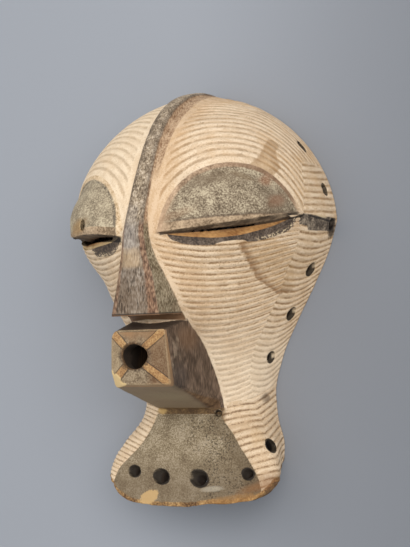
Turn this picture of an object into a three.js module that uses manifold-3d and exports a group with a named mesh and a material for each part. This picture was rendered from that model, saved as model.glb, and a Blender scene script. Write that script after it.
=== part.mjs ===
// Carved wooden face mask, hollow behind, lying on its back rim with the face up.
// Millimetres. X runs across the face, Y from the collar to the crown, Z out of the face.
import * as THREE from "three";
import { mergeVertices } from "three/addons/utils/BufferGeometryUtils.js";
import initManifold from "manifold-3d";

const wasm = await initManifold();
wasm.setup();

// Driving dimensions
const RIM_LENGTH = 363;
const BROW_HALF_WIDTH = 116.5;
const BROW_DEPTH = 145;
const WALL = 12;
const CREST_CROWN_RISE = 2.5;
const TOTAL_LENGTH = RIM_LENGTH + CREST_CROWN_RISE;

// The crown is a dome that starts at these heights for the width and for the depth.
const DOME_WIDTH_START = 243;
const DOME_DEPTH_START = 216;
const DOME_WIDTH_POWER = 1.8;
const DOME_DEPTH_POWER = 1.93;

// Face profile below the dome as [height above the collar's edge, value] pairs.
const HALF_WIDTH = smoothCurve([
  [0, 58],
  [20, 61],
  [35, 65.5],
  [50, 66.5],
  [75, 60.7],
  [96, 59],
  [127, 66],
  [158, 80],
  [189, 96],
  [220, 110],
  [DOME_WIDTH_START, BROW_HALF_WIDTH],
]);
const DEPTH = smoothCurve([
  [0, 62],
  [40, 56],
  [79, 53],
  [96, 61],
  [117, 79],
  [138, 104],
  [154, 130],
  [170, BROW_DEPTH - 1.5],
  [180, BROW_DEPTH],
  [DOME_DEPTH_START, BROW_DEPTH],
]);
// Section squareness: 2 is an ellipse, less is a keel, more is a box.
const SQUARENESS = smoothCurve([
  [0, 7],
  [40, 5],
  [79, 2.6],
  [96, 2.2],
  [138, 1.52],
  [156, 1.42],
  [189, 1.5],
  [216, 1.9],
  [273, 2.25],
  [RIM_LENGTH, 2.4],
]);
// How much wider the collar is at its front than at its back rim.
const FLARE = smoothCurve([
  [0, 0.52],
  [20, 0.5],
  [35, 0.38],
  [50, 0.25],
  [62, 0.1],
  [79, 0],
  [RIM_LENGTH, 0],
]);
const FLARE_POWER = 1.6;

// Crest and nose ridge, one strip down the middle, from the crown to the nose tip.
const NOSE_TIP = 153.7;
const NOSE_UNDERCUT = 0.1;
const RIDGE_EDGE_ROUND = 1.5;
const NOSE_FRONT = smoothCurve([
  [NOSE_TIP, 150.2],
  [185, 150.8],
  [DOME_DEPTH_START, BROW_DEPTH + 7],
]);
const CREST_RISE = smoothCurve([
  [DOME_DEPTH_START, 7],
  [234, 4.6],
  [252, 3],
  [272, 3.4],
  [300, 5.4],
  [325, 6.5],
  [347, 5],
  [RIM_LENGTH, CREST_CROWN_RISE],
]);
const RIDGE_HALF_WIDTH = smoothCurve([
  [NOSE_TIP, 20.4],
  [185, 14.9],
  [209, 9.9],
  [234, 7.7],
  [267, 6.7],
  [299, 4.6],
  [RIM_LENGTH, 5.5],
]);
const RIDGE_FOOT_HALF_WIDTH = smoothCurve([
  [NOSE_TIP, 25.5],
  [167, 26],
  [185, 21],
  [216, 13],
  [250, 9.5],
  [300, 10],
  [RIM_LENGTH, 9],
]);
const RIDGE_FOOT_DEPTH = smoothCurve([
  [NOSE_TIP, 42],
  [167, 32],
  [185, 20],
  [216, 14],
  [250, 9],
  [300, 14],
  [RIM_LENGTH, 9],
]);

// Eyes: a slanting slit under a bulging lid that is bounded above by an arch.
const EYE_INNER = 14;
const EYE_OUTER = 107;
const SLIT_HEIGHT = smoothCurve([
  [EYE_INNER, 218],
  [33, 219.9],
  [47, 221.8],
  [60, 224.4],
  [72, 227],
  [84, 230.2],
  [95, 234.2],
  [EYE_OUTER, 240],
]);
const EYE_ARCH_HEIGHT = 52.5;
const EYE_ARCH_INNER_POWER = 0.8;
const EYE_ARCH_OUTER_POWER = 0.92;
const LID_BULGE = 9.5;
const LID_FULLNESS = 0.35;
const LID_LIP_INNER = 8;
const LID_LIP_OUTER = 4;
const LID_LIP_TUCK = 2.5;
const LID_FADE_POWER = 1.35;
const LID_ROOT = 7;
const SLIT_GAP = 5.6;
const SLIT_END = 0.07;

// Mouth: a box with a round bore, wider at its root than at its lips.
const MOUTH_TOP = { left: -25.3, right: 22.1, y: 143.2, z: 143.2 };
const MOUTH_BOTTOM = { left: -26.3, right: 25.8, y: 100.4, z: 140.2 };
const MOUTH_ROOT_TOP = { left: -25.5, right: 25, y: 154, z: 106 };
const MOUTH_ROOT_BOTTOM = { left: -31, right: 30.5, y: 79.3, z: 44 };
const MOUTH_ROOT_SINK = 26;
const MOUTH_BORE = { x: -4.8, y: 122.5, radius: 9.9 };
const MOUTH_HOLLOW_FRONT = { left: -16, right: 9, top: 133.5, bottom: 112, z: 127 };
const MOUTH_HOLLOW_BACK = { left: -20, right: 20, top: 142, bottom: 93, z: 55 };

// Holes for the raffia beard, across each side near the rim and through the collar.
const RIM_HOLE_RADIUS = 4.6;
const RIM_HOLES = [
  { y: 307, z: 21 },
  { y: 270, z: 17 },
  { y: 235, z: 14 },
  { y: 200, z: 18 },
  { y: 163, z: 15 },
  { y: 126, z: 19 },
  { y: 51, z: 29 },
];
const COLLAR_HOLES = [
  { x: -51, y: 30, radius: 6.5 },
  { x: -23, y: 25, radius: 6 },
  { x: 13, y: 24, radius: 7 },
  { x: 55, y: 29, radius: 6.5 },
];

// The collar's lower edge rises to both corners and is rounded off at the back.
const EDGE_CORNER_RISE = 22;
const EDGE_CORNER_X = 77;
const EDGE_CORNER_POWER = 5.2;
const EDGE_BACK_RISE = 28;
const EDGE_BACK_DEPTH = 44;
const EDGE_BACK_POWER = 1.5;

/** Curve through [position, value] knots that never overshoots them. */
function smoothCurve(knots) {
  const last = knots.length - 1;
  const span = (i) => knots[i + 1][0] - knots[i][0];
  const rate = (i) => (knots[i + 1][1] - knots[i][1]) / span(i);
  const slopes = knots.map((_, i) => {
    if (i === 0 || i === last) {
      return i === 0 ? rate(0) : rate(last - 1);
    }
    const before = rate(i - 1);
    const after = rate(i);
    return before * after <= 0 ? 0 : (2 * before * after) / (before + after);
  });
  return (position) => {
    if (position <= knots[0][0]) {
      return knots[0][1];
    }
    if (position >= knots[last][0]) {
      return knots[last][1];
    }
    const i = knots.findIndex((knot) => knot[0] > position) - 1;
    const h = span(i);
    const t = (position - knots[i][0]) / h;
    const rise = knots[i + 1][1] - knots[i][1];
    const startBend = slopes[i] * h - rise;
    const endBend = rise - slopes[i + 1] * h;
    return knots[i][1] + rise * t + t * (1 - t) * ((1 - t) * startBend + t * endBend);
  };
}

/** Share of its full size that a dome still has at a given share of its height. */
function domeShare(heightShare, power) {
  return Math.pow(Math.max(0, 1 - Math.pow(Math.max(0, heightShare), power)), 1 / power);
}

/** Half width of the face at height y, with the wall's inset taken off. */
function halfWidthAt(y, inset = 0) {
  const share = (y - DOME_WIDTH_START) / (RIM_LENGTH - inset - DOME_WIDTH_START);
  const widest = BROW_HALF_WIDTH - inset;
  return share > 0 ? widest * domeShare(share, DOME_WIDTH_POWER) : HALF_WIDTH(y) - inset;
}

/** Depth of the face on its middle line at height y, with the inset taken off. */
function depthAt(y, inset = 0) {
  const share = (y - DOME_DEPTH_START) / (RIM_LENGTH - inset - DOME_DEPTH_START);
  const deepest = BROW_DEPTH - inset;
  return share > 0 ? deepest * domeShare(share, DOME_DEPTH_POWER) : DEPTH(y) - inset;
}

/** Depth of the face above a point of the rim plane, for heights above the neck. */
function faceDepth(x, y) {
  const power = SQUARENESS(y);
  const share = Math.min(1, Math.abs(x) / halfWidthAt(y));
  return depthAt(y) * Math.pow(1 - Math.pow(share, power), 1 / power);
}

/** Outward unit direction of the face above a point of the rim plane. */
function faceNormal(x, y) {
  const step = 0.5;
  const acrossSlope = (faceDepth(x + step, y) - faceDepth(x - step, y)) / (2 * step);
  const alongSlope = (faceDepth(x, y + step) - faceDepth(x, y - step)) / (2 * step);
  return new THREE.Vector3(-acrossSlope, -alongSlope, 1).normalize();
}

/** Points of one face section from rim to rim, at turn angles 0 to 180 degrees. */
function sectionPoints(y, steps, inset) {
  const halfWidth = Math.max(0, halfWidthAt(y, inset));
  const depth = Math.max(0, depthAt(y, inset));
  const power = 2 / SQUARENESS(y);
  const points = [];
  for (let i = 0; i <= steps; i += 1) {
    const turn = (Math.PI * i) / steps;
    const across = Math.cos(turn);
    const rise = Math.pow(Math.abs(Math.sin(turn)), power);
    const flare = 1 + FLARE(y) * Math.pow(rise, FLARE_POWER);
    const x = halfWidth * Math.sign(across) * Math.pow(Math.abs(across), power) * flare;
    points.push(new THREE.Vector3(i === 0 || i === steps ? Math.sign(across) * halfWidth : x, y, depth * rise));
  }
  return points;
}

/** Heights of the sections, even up to the dome and closing up towards its top. */
function sectionHeights(bottom, top, straightSteps, domeSteps) {
  const heights = [];
  for (let i = 0; i < straightSteps; i += 1) {
    heights.push(bottom + ((DOME_DEPTH_START - bottom) * i) / straightSteps);
  }
  for (let i = 0; i <= domeSteps; i += 1) {
    const climb = Math.sin((Math.PI / 2) * (i / domeSteps));
    heights.push(DOME_DEPTH_START + (top - DOME_DEPTH_START) * climb);
  }
  return heights;
}

/** Closed solid through rings of equally many points, capped at both ends. */
function loft(rings) {
  const size = rings[0].length;
  const centre = (ring) => {
    const sum = ring.reduce((total, point) => total.add(point), new THREE.Vector3());
    return sum.divideScalar(size);
  };
  const points = [...rings.flat(), centre(rings[0]), centre(rings[rings.length - 1])];
  const firstCap = rings.length * size;
  const faces = [];
  for (let i = 0; i < size; i += 1) {
    const next = (i + 1) % size;
    const end = (rings.length - 1) * size;
    faces.push([firstCap, next, i]);
    faces.push([firstCap + 1, end + i, end + next]);
    for (let j = 0; j < rings.length - 1; j += 1) {
      const low = j * size;
      const high = low + size;
      faces.push([low + i, low + next, high + next]);
      faces.push([low + i, high + next, high + i]);
    }
  }
  return solidFrom(points, faces);
}

/** Solid from points and triangles, with doubled points merged and turned outward. */
function solidFrom(points, faces) {
  const geometry = new THREE.BufferGeometry().setFromPoints(points);
  geometry.setIndex(faces.flat());
  const merged = mergeVertices(geometry, 1e-4);
  const place = merged.getAttribute("position");
  const corner = (index) => new THREE.Vector3().fromBufferAttribute(place, index);
  const index = Array.from(merged.getIndex().array);
  let kept = [];
  let volume = 0;
  for (let i = 0; i < index.length; i += 3) {
    const [a, b, c] = [index[i], index[i + 1], index[i + 2]];
    if (a !== b && b !== c && c !== a) {
      kept.push([a, b, c]);
      volume += corner(a).dot(corner(b).cross(corner(c)));
    }
  }
  if (volume < 0) {
    kept = kept.map(([a, b, c]) => [a, c, b]);
  }
  const mesh = new wasm.Mesh({
    numProp: 3,
    vertProperties: new Float32Array(place.array),
    triVerts: new Uint32Array(kept.flat()),
  });
  mesh.merge();
  return new wasm.Manifold(mesh);
}

/** The block that the face is cut from: front surface, flat back and flat bottom. */
function faceBlock() {
  const heights = sectionHeights(-2, RIM_LENGTH, 26, 15);
  return loft(heights.map((y) => sectionPoints(y, 46, 0)));
}

/** The hollow behind the face, open at the back and below. */
function faceHollow() {
  const heights = sectionHeights(-6, RIM_LENGTH - WALL, 18, 9);
  const rings = heights.map((y) => {
    const ring = sectionPoints(y, 30, WALL);
    const right = ring[0].clone().setZ(-WALL);
    const left = ring[ring.length - 1].clone().setZ(-WALL);
    return [right, ...ring, left];
  });
  return loft(rings);
}

/** One ring of the crest or nose strip, square to the middle line of the face. */
function ridgeRing(y, z, normal, rise, slant) {
  const half = RIDGE_HALF_WIDTH(y);
  const foot = RIDGE_FOOT_HALF_WIDTH(y);
  const depth = RIDGE_FOOT_DEPTH(y);
  const outline = [
    [-foot, depth],
    [-half, RIDGE_EDGE_ROUND],
    [RIDGE_EDGE_ROUND - half, 0],
    [half - RIDGE_EDGE_ROUND, 0],
    [half, RIDGE_EDGE_ROUND],
    [foot, depth],
  ];
  return outline.map(([x, sink]) => {
    const out = rise - sink;
    return new THREE.Vector3(x, y + normal.y * out + slant * sink, z + normal.z * out);
  });
}

/** Crest from the crown down to the brow, running on as the nose. */
function ridge() {
  const rings = [];
  const domeSteps = 16;
  for (let i = -1; i < domeSteps; i += 1) {
    const turn = (Math.PI / 2) * (i / domeSteps);
    const power = 2 / DOME_DEPTH_POWER;
    const along = Math.pow(Math.abs(Math.cos(turn)), power);
    const out = Math.sign(turn) * Math.pow(Math.abs(Math.sin(turn)), power);
    const y = DOME_DEPTH_START + (RIM_LENGTH - DOME_DEPTH_START) * along;
    const normal = new THREE.Vector3(0, Math.cos(turn), Math.sin(turn));
    rings.push(ridgeRing(y, BROW_DEPTH * out, normal, CREST_RISE(y), 0));
  }
  const forward = new THREE.Vector3(0, 0, 1);
  const noseSteps = 6;
  for (let i = 0; i <= noseSteps; i += 1) {
    const y = DOME_DEPTH_START + ((NOSE_TIP - DOME_DEPTH_START) * i) / noseSteps;
    const slant = i === noseSteps ? NOSE_UNDERCUT : 0;
    rings.push(ridgeRing(y, DEPTH(y), forward, NOSE_FRONT(y) - DEPTH(y), slant));
  }
  return loft(rings);
}

/** Height of the lid's arch above the slit, from -1 at the nose to 1 at the temple. */
function archHeight(share) {
  const power = share < 0 ? EYE_ARCH_INNER_POWER : EYE_ARCH_OUTER_POWER;
  return EYE_ARCH_HEIGHT * Math.pow(Math.max(0, 1 - share * share), power);
}

/** Bulging lid on one side of the face, side being 1 or -1. */
function lid(side) {
  const middle = (EYE_INNER + EYE_OUTER) / 2;
  const halfLength = (EYE_OUTER - EYE_INNER) / 2;
  const steps = 14;
  const rows = 7;
  const rings = [];
  for (let i = 1; i < steps; i += 1) {
    const share = -Math.cos((Math.PI * i) / steps);
    const x = middle + halfLength * share;
    const bulge = LID_BULGE * Math.pow(1 - share * share, LID_FULLNESS);
    const lipThere = THREE.MathUtils.mapLinear(share, -1, 1, LID_LIP_INNER, LID_LIP_OUTER);
    const lip = Math.min(lipThere, archHeight(share) / 4);
    const outer = [];
    const inner = [];
    for (let j = 0; j <= rows; j += 1) {
      const climb = j === 0 ? 0 : lip + ((archHeight(share) - lip) * (j - 1)) / (rows - 1);
      const y = SLIT_HEIGHT(x) + climb;
      const normal = faceNormal(x, y);
      const foot = new THREE.Vector3(x, y, faceDepth(x, y));
      const fade = 1 - Math.pow(Math.max(0, j - 1) / (rows - 1), LID_FADE_POWER);
      const swell = j === 0 ? bulge - LID_LIP_TUCK : bulge * fade - 1;
      outer.push(foot.clone().addScaledVector(normal, swell));
      inner.unshift(foot.clone().addScaledVector(normal, -LID_ROOT));
    }
    rings.push([...outer, ...inner]);
  }
  rings.forEach((ring) => ring.forEach((point) => point.setX(point.x * side)));
  return loft(rings);
}

/** The see-through gap under one lid, cut straight through the wall. */
function slit(side) {
  const steps = 9;
  const top = [];
  const bottom = [];
  for (let i = 0; i <= steps; i += 1) {
    const share = SLIT_END + ((1 - 2 * SLIT_END) * i) / steps;
    const x = EYE_INNER + (EYE_OUTER - EYE_INNER) * share;
    const gap = SLIT_GAP * Math.sin((Math.PI * i) / steps);
    top.push([x * side, SLIT_HEIGHT(x) + 0.4]);
    bottom.unshift([x * side, SLIT_HEIGHT(x) - Math.max(0.3, gap)]);
  }
  const outline = [...top, ...bottom];
  const floor = 20;
  const ceiling = BROW_DEPTH + WALL;
  return loft([floor, ceiling].map((z) => outline.map(([x, y]) => new THREE.Vector3(x, y, z))));
}

/** Ring of the four corners of a box section, sunk below them as asked. */
function boxRing(top, bottom, sink = 0) {
  return [
    new THREE.Vector3(top.right, top.y, top.z - sink),
    new THREE.Vector3(top.left, top.y, top.z - sink),
    new THREE.Vector3(bottom.left, bottom.y, bottom.z - sink),
    new THREE.Vector3(bottom.right, bottom.y, bottom.z - sink),
  ];
}

/** Mouth box from its lips to a root sunk into the face. */
function mouthBox() {
  return loft([
    boxRing(MOUTH_TOP, MOUTH_BOTTOM),
    boxRing(MOUTH_ROOT_TOP, MOUTH_ROOT_BOTTOM),
    boxRing(MOUTH_ROOT_TOP, MOUTH_ROOT_BOTTOM, MOUTH_ROOT_SINK),
  ]);
}

/** Hollow inside the mouth box, running into the hollow of the face. */
function mouthHollow() {
  const rings = [MOUTH_HOLLOW_FRONT, MOUTH_HOLLOW_BACK].map((end) =>
    boxRing({ ...end, y: end.top }, { ...end, y: end.bottom }),
  );
  return loft(rings);
}

/** Round bore between two points, as a cutter. */
function bore(start, end, radius, sides) {
  const cutter = new THREE.CylinderGeometry(radius, radius, start.distanceTo(end), sides, 1);
  const direction = end.clone().sub(start).normalize();
  const up = new THREE.Vector3(0, 1, 0);
  cutter.applyQuaternion(new THREE.Quaternion().setFromUnitVectors(up, direction));
  const middle = start.clone().add(end).multiplyScalar(0.5);
  cutter.translate(middle.x, middle.y, middle.z);
  cutter.deleteAttribute("normal");
  cutter.deleteAttribute("uv");
  const merged = mergeVertices(cutter, 1e-4);
  const place = merged.getAttribute("position");
  const points = [];
  for (let i = 0; i < place.count; i += 1) {
    points.push(new THREE.Vector3().fromBufferAttribute(place, i));
  }
  const index = Array.from(merged.getIndex().array);
  const faces = [];
  for (let i = 0; i < index.length; i += 3) {
    faces.push(index.slice(i, i + 3));
  }
  return solidFrom(points, faces);
}

/** Bore across one side wall near the rim. */
function rimHole({ y, z }, side) {
  const outside = halfWidthAt(y) + WALL;
  const inside = halfWidthAt(y, WALL) - 2 * WALL;
  const start = new THREE.Vector3(side * outside, y, z);
  const end = new THREE.Vector3(side * inside, y, z);
  return bore(start, end, RIM_HOLE_RADIUS, 14);
}

/** Bore through the front of the collar. */
function collarHole({ x, y, radius }) {
  const start = new THREE.Vector3(x, y, DEPTH(y) + WALL);
  const end = new THREE.Vector3(x, y, DEPTH(y) - 2 * WALL);
  return bore(start, end, radius, 16);
}

/** Bore from the lips into the hollow of the mouth box. */
function mouthBore() {
  const start = new THREE.Vector3(MOUTH_BORE.x, MOUTH_BORE.y, MOUTH_TOP.z + WALL);
  const end = new THREE.Vector3(MOUTH_BORE.x, MOUTH_BORE.y, MOUTH_HOLLOW_FRONT.z - 2);
  return bore(start, end, MOUTH_BORE.radius, 28);
}

/** Height of the collar's lower edge at a place of the collar. */
function edgeHeight(x, z) {
  const share = Math.min(1, Math.abs(x) / EDGE_CORNER_X);
  const corner = EDGE_CORNER_RISE * Math.pow(share, EDGE_CORNER_POWER);
  const back = Math.max(0, 1 - z / EDGE_BACK_DEPTH);
  return corner + EDGE_BACK_RISE * Math.pow(back, EDGE_BACK_POWER);
}

/** Everything below the collar's lower edge, as a cutter. */
function belowEdge() {
  const reach = 84;
  const acrossSteps = 24;
  const depthSteps = 8;
  const rings = [];
  for (let i = 0; i <= acrossSteps; i += 1) {
    const x = -reach + (2 * reach * i) / acrossSteps;
    const ring = [new THREE.Vector3(x, -40, 100), new THREE.Vector3(x, -40, -10)];
    for (let j = 0; j <= depthSteps; j += 1) {
      const z = j === 0 ? -10 : (EDGE_BACK_DEPTH * (j - 1)) / (depthSteps - 1);
      ring.push(new THREE.Vector3(x, edgeHeight(x, Math.max(0, z)), z));
    }
    ring.push(new THREE.Vector3(x, edgeHeight(x, 100), 100));
    rings.push(ring);
  }
  return loft(rings);
}

/** The whole mask as one solid. */
function maskSolid() {
  let solid = faceBlock();
  const added = [ridge(), lid(1), lid(-1), mouthBox()];
  added.forEach((piece) => {
    solid = solid.add(piece);
  });
  const removed = [faceHollow(), mouthHollow(), mouthBore(), slit(1), slit(-1), belowEdge()];
  RIM_HOLES.forEach((hole) => removed.push(rimHole(hole, 1), rimHole(hole, -1)));
  COLLAR_HOLES.forEach((hole) => removed.push(collarHole(hole)));
  removed.forEach((piece) => {
    solid = solid.subtract(piece);
  });
  return solid.trimByPlane([0, 0, 1], 0);
}

/** Mesh of a solid, moved so that the mask lies centred on the ground. */
function meshOf(solid, name, material) {
  const result = solid.getMesh();
  const geometry = new THREE.BufferGeometry();
  const stride = result.numProp;
  const places = [];
  for (let i = 0; i < result.vertProperties.length; i += stride) {
    places.push(...result.vertProperties.subarray(i, i + 3));
  }
  geometry.setAttribute("position", new THREE.Float32BufferAttribute(places, 3));
  geometry.setIndex(Array.from(result.triVerts));
  geometry.translate(0, -TOTAL_LENGTH / 2, 0);
  geometry.computeVertexNormals();
  const mesh = new THREE.Mesh(geometry, material);
  mesh.name = name;
  return mesh;
}

const paleWood = new THREE.MeshStandardMaterial({ color: 0xc9b18c, roughness: 0.8, metalness: 0 });
paleWood.name = "carved_wood";

const part = new THREE.Group();
part.name = "kifwebe_mask";
part.add(meshOf(maskSolid(), "mask", paleWood));

export default part;
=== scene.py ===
"""Looks of a carved and painted face mask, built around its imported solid.

Lengths are millimetres in the mask's own frame: X across the face to the viewer's right,
Y from the collar's edge up to the crown, Z out of the face. A mesh is turned into metres
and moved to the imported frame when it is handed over.
"""
import logging
import math
from collections.abc import Callable
from dataclasses import dataclass, field
from enum import Enum, StrEnum
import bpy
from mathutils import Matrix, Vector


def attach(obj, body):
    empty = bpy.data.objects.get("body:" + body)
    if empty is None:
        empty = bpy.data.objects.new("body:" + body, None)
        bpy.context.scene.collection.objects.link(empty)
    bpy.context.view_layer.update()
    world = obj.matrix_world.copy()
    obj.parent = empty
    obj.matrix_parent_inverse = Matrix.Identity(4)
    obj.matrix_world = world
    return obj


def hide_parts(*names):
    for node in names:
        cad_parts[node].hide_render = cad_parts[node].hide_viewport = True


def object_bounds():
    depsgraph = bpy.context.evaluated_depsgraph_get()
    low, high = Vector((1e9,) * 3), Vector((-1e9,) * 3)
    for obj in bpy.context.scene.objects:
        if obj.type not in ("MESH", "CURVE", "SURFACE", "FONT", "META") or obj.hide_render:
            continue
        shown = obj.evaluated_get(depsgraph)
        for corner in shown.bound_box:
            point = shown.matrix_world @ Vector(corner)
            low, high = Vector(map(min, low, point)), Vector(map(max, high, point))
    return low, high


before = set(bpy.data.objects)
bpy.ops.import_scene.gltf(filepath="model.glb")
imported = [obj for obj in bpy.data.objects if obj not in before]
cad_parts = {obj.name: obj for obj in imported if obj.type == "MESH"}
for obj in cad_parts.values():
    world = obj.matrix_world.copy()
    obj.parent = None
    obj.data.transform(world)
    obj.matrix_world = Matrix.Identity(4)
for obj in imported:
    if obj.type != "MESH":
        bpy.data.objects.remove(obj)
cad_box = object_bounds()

from types import SimpleNamespace
from typing import Any

import bmesh
import bpy
import numpy as np
from mathutils import Matrix, Vector

Array = np.ndarray
Point = tuple[float, float, float]
Outline = tuple[tuple[float, float], ...]

MILLIMETRE = 0.001
TOTAL_LENGTH = 365.5
TINY = 1e-6
MERGE_DISTANCE = 1e-4
HASH_FACTORS = (73856093, 19349663, 83492791)
FRAME_NODE = "mask"
FRAME_BODY = "root"

log = logging.getLogger("mask")


def ease(value: Array, start: float, end: float) -> Array:
    """Eases from 0 at start to 1 at end, whichever of the two is larger."""
    share = np.clip((value - start) / (end - start), 0, 1)
    return share * share * (3 - 2 * share)


def between(value: Array, low: float, high: float, soft: float) -> Array:
    """One between low and high, easing to 0 over a soft width outside them."""
    return ease(value, low - soft, low) * ease(value, high + soft, high)


@dataclass(frozen=True)
class Curve:
    """Curve through [position, value] knots that never overshoots them."""

    knots: Outline

    def __call__(self, position: Array) -> Array:
        """Values of the curve, held level beyond the end knots.

        Args:
            position: Places along the curve.

        Returns:
            One value for each place.
        """
        places, values = np.array(self.knots, float).T
        spans = np.diff(places)
        rates = np.diff(values) / spans
        before, after = rates[:-1], rates[1:]
        same_way = before * after > 0
        inner = np.where(same_way, 2 * before * after / np.where(same_way, before + after, 1), 0)
        slopes = np.concatenate([rates[:1], inner, rates[-1:]])
        i = np.clip(np.searchsorted(places, position, side="right") - 1, 0, len(spans) - 1)
        t = np.clip((position - places[i]) / spans[i], 0, 1)
        rise = values[i + 1] - values[i]
        start_bend = slopes[i] * spans[i] - rise
        end_bend = rise - slopes[i + 1] * spans[i]
        return values[i] + rise * t + t * (1 - t) * ((1 - t) * start_bend + t * end_bend)


@dataclass(frozen=True)
class Noise:
    """Smooth random field between -1 and 1, the same for the same seed."""

    seed: int
    size: float

    def __call__(self, points: Array) -> Array:
        """Values of the field.

        Args:
            points: Places as rows of three.

        Returns:
            One value for each point.
        """
        scaled = points / self.size
        cell = np.floor(scaled).astype(np.int64)
        share = scaled - cell
        share = share * share * (3 - 2 * share)
        total = np.zeros(len(points))
        for corner in np.ndindex(2, 2, 2):
            weight = np.prod(np.where(corner, share, 1 - share), axis=1)
            total += weight * self._corner_values(cell + np.array(corner))
        return total

    def _corner_values(self, cell: Array) -> Array:
        """Random values of lattice corners, hashed from their numbers.

        Args:
            cell: Lattice corners as rows of three whole numbers.

        Returns:
            One value between -1 and 1 for each corner.
        """
        first, second, third = (cell[:, i] * factor for i, factor in enumerate(HASH_FACTORS))
        mixed = first ^ second ^ third
        mixed = (mixed ^ self.seed * 2654435761) & 0x7FFFFFFF
        mixed = (mixed ^ (mixed >> 13)) * 1274126177 & 0x7FFFFFFF
        mixed = mixed ^ (mixed >> 15)
        return (mixed & 0xFFFF) / 32767.5 - 1


def mesh_object(name: str, vertices: Array, faces: list[Any]) -> bpy.types.Object:
    """Closed mesh object with doubled points merged and its faces turned outward.

    Args:
        name: Name of the object and its mesh.
        vertices: Corner points, in millimetres.
        faces: Rows of corner numbers.

    Returns:
        The object, linked to the scene.
    """
    mesh = bpy.data.meshes.new(name)
    mesh.from_pydata(vertices.tolist(), [], faces)
    shape = bmesh.new()
    shape.from_mesh(mesh)
    bmesh.ops.remove_doubles(shape, verts=shape.verts, dist=MERGE_DISTANCE)
    bmesh.ops.recalc_face_normals(shape, faces=shape.faces)
    shape.to_mesh(mesh)
    shape.free()
    result = bpy.data.objects.new(name, mesh)
    bpy.context.scene.collection.objects.link(result)
    return result


def loft(name: str, rings: Any) -> bpy.types.Object:
    """Closed solid through rings of equally many points, capped at both ends.

    Args:
        name: Name of the solid.
        rings: Rings of points, from one end to the other.

    Returns:
        The solid as an object.
    """
    rings = np.array(rings, float)
    count, size, _ = rings.shape
    caps = [rings[0].mean(axis=0), rings[-1].mean(axis=0)]
    vertices = np.concatenate([rings.reshape(-1, 3), caps])
    around = np.arange(size)
    following = (around + 1) % size
    low = (np.arange(count - 1) * size)[:, None]
    sides = np.stack([low + around, low + following, low + size + following, low + size + around], axis=-1)
    last = (count - 1) * size
    first_cap = np.stack([np.full(size, count * size), following, around], axis=-1)
    last_cap = np.stack([np.full(size, count * size + 1), last + around, last + following], axis=-1)
    faces = [*sides.reshape(-1, 4).tolist(), *first_cap.tolist(), *last_cap.tolist()]
    return mesh_object(name, vertices, faces)


def apply_modifiers(shape: bpy.types.Object) -> None:
    """Puts the result of an object's modifiers into its mesh and clears them.

    Args:
        shape: Object to change.
    """
    graph = bpy.context.evaluated_depsgraph_get()
    mesh = bpy.data.meshes.new_from_object(shape.evaluated_get(graph))
    shape.modifiers.clear()
    shape.data = mesh


class Carving(Enum):
    """What one solid does to another."""

    JOIN = "UNION"
    CUT = "DIFFERENCE"


def carve(base: bpy.types.Object, tool: bpy.types.Object, how: Carving) -> None:
    """Joins a solid to the base or cuts it out of the base, and discards it.

    Args:
        base: Solid that is kept.
        tool: Solid that is used up.
        how: Whether it joins or cuts.
    """
    modifier = base.modifiers.new(how.name, "BOOLEAN")
    modifier.object = tool
    modifier.operation = how.value
    modifier.solver = "MANIFOLD"
    apply_modifiers(base)
    bpy.data.objects.remove(tool)


def rows_of(parts: Any, name: str) -> Array:
    """Vectors of a mesh's vertices or normals, by attribute name, as rows of three.

    Args:
        parts: Vertices or normals of a mesh.
        name: Attribute that holds each vector.

    Returns:
        One row for each vector.
    """
    flat = np.empty(len(parts) * 3)
    parts.foreach_get(name, flat)
    return flat.reshape(-1, 3)


def place_points(mesh: bpy.types.Mesh, points: Array) -> None:
    """Moves a mesh's vertices to new places."""
    mesh.vertices.foreach_set("co", points.ravel())
    mesh.update()


def unit(vector: Any) -> Array:
    """Direction of a vector."""
    return np.array(vector) / np.linalg.norm(vector)


def polygon_gap(across: Array, along: Array, corners: Outline) -> Array:
    """Distance of points outside a polygon, negative inside it.

    Args:
        across: First coordinates of the points.
        along: Second coordinates of the points.
        corners: The polygon's corners in order.

    Returns:
        One signed distance for each point.
    """
    nearest = np.full(across.shape, np.inf)
    inside = np.zeros(across.shape, bool)
    for (ax, ay), (bx, by) in zip(corners, corners[1:] + corners[:1]):
        side = np.array([bx - ax, by - ay])
        share = ((across - ax) * side[0] + (along - ay) * side[1]) / (side @ side)
        share = np.clip(share, 0, 1)
        nearest = np.minimum(nearest, np.hypot(across - ax - share * side[0], along - ay - share * side[1]))
        spans = (ay > along) != (by > along)
        rise = by - ay if by != ay else 1e-9
        inside ^= spans & (across < ax + (along - ay) * side[0] / rise)
    return np.where(inside, -nearest, nearest)


@dataclass(frozen=True)
class DomedSize:
    """A size of the face along its height: a curve below, closing as a dome at the crown."""

    start: float
    full: float
    power: float
    below: Curve
    end: float = 363.0

    def __call__(self, y: Array, inset: float = 0.0) -> Array:
        """The size at heights y, with the wall's inset taken off.

        Args:
            y: Heights on the face.
            inset: How far inside the outer surface to measure.

        Returns:
            One size for each height.
        """
        share = (y - self.start) / (self.end - inset - self.start)
        left = np.maximum(0, 1 - np.maximum(0, share) ** self.power) ** (1 / self.power)
        return np.where(share > 0, (self.full - inset) * left, self.below(y) - inset)


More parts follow.
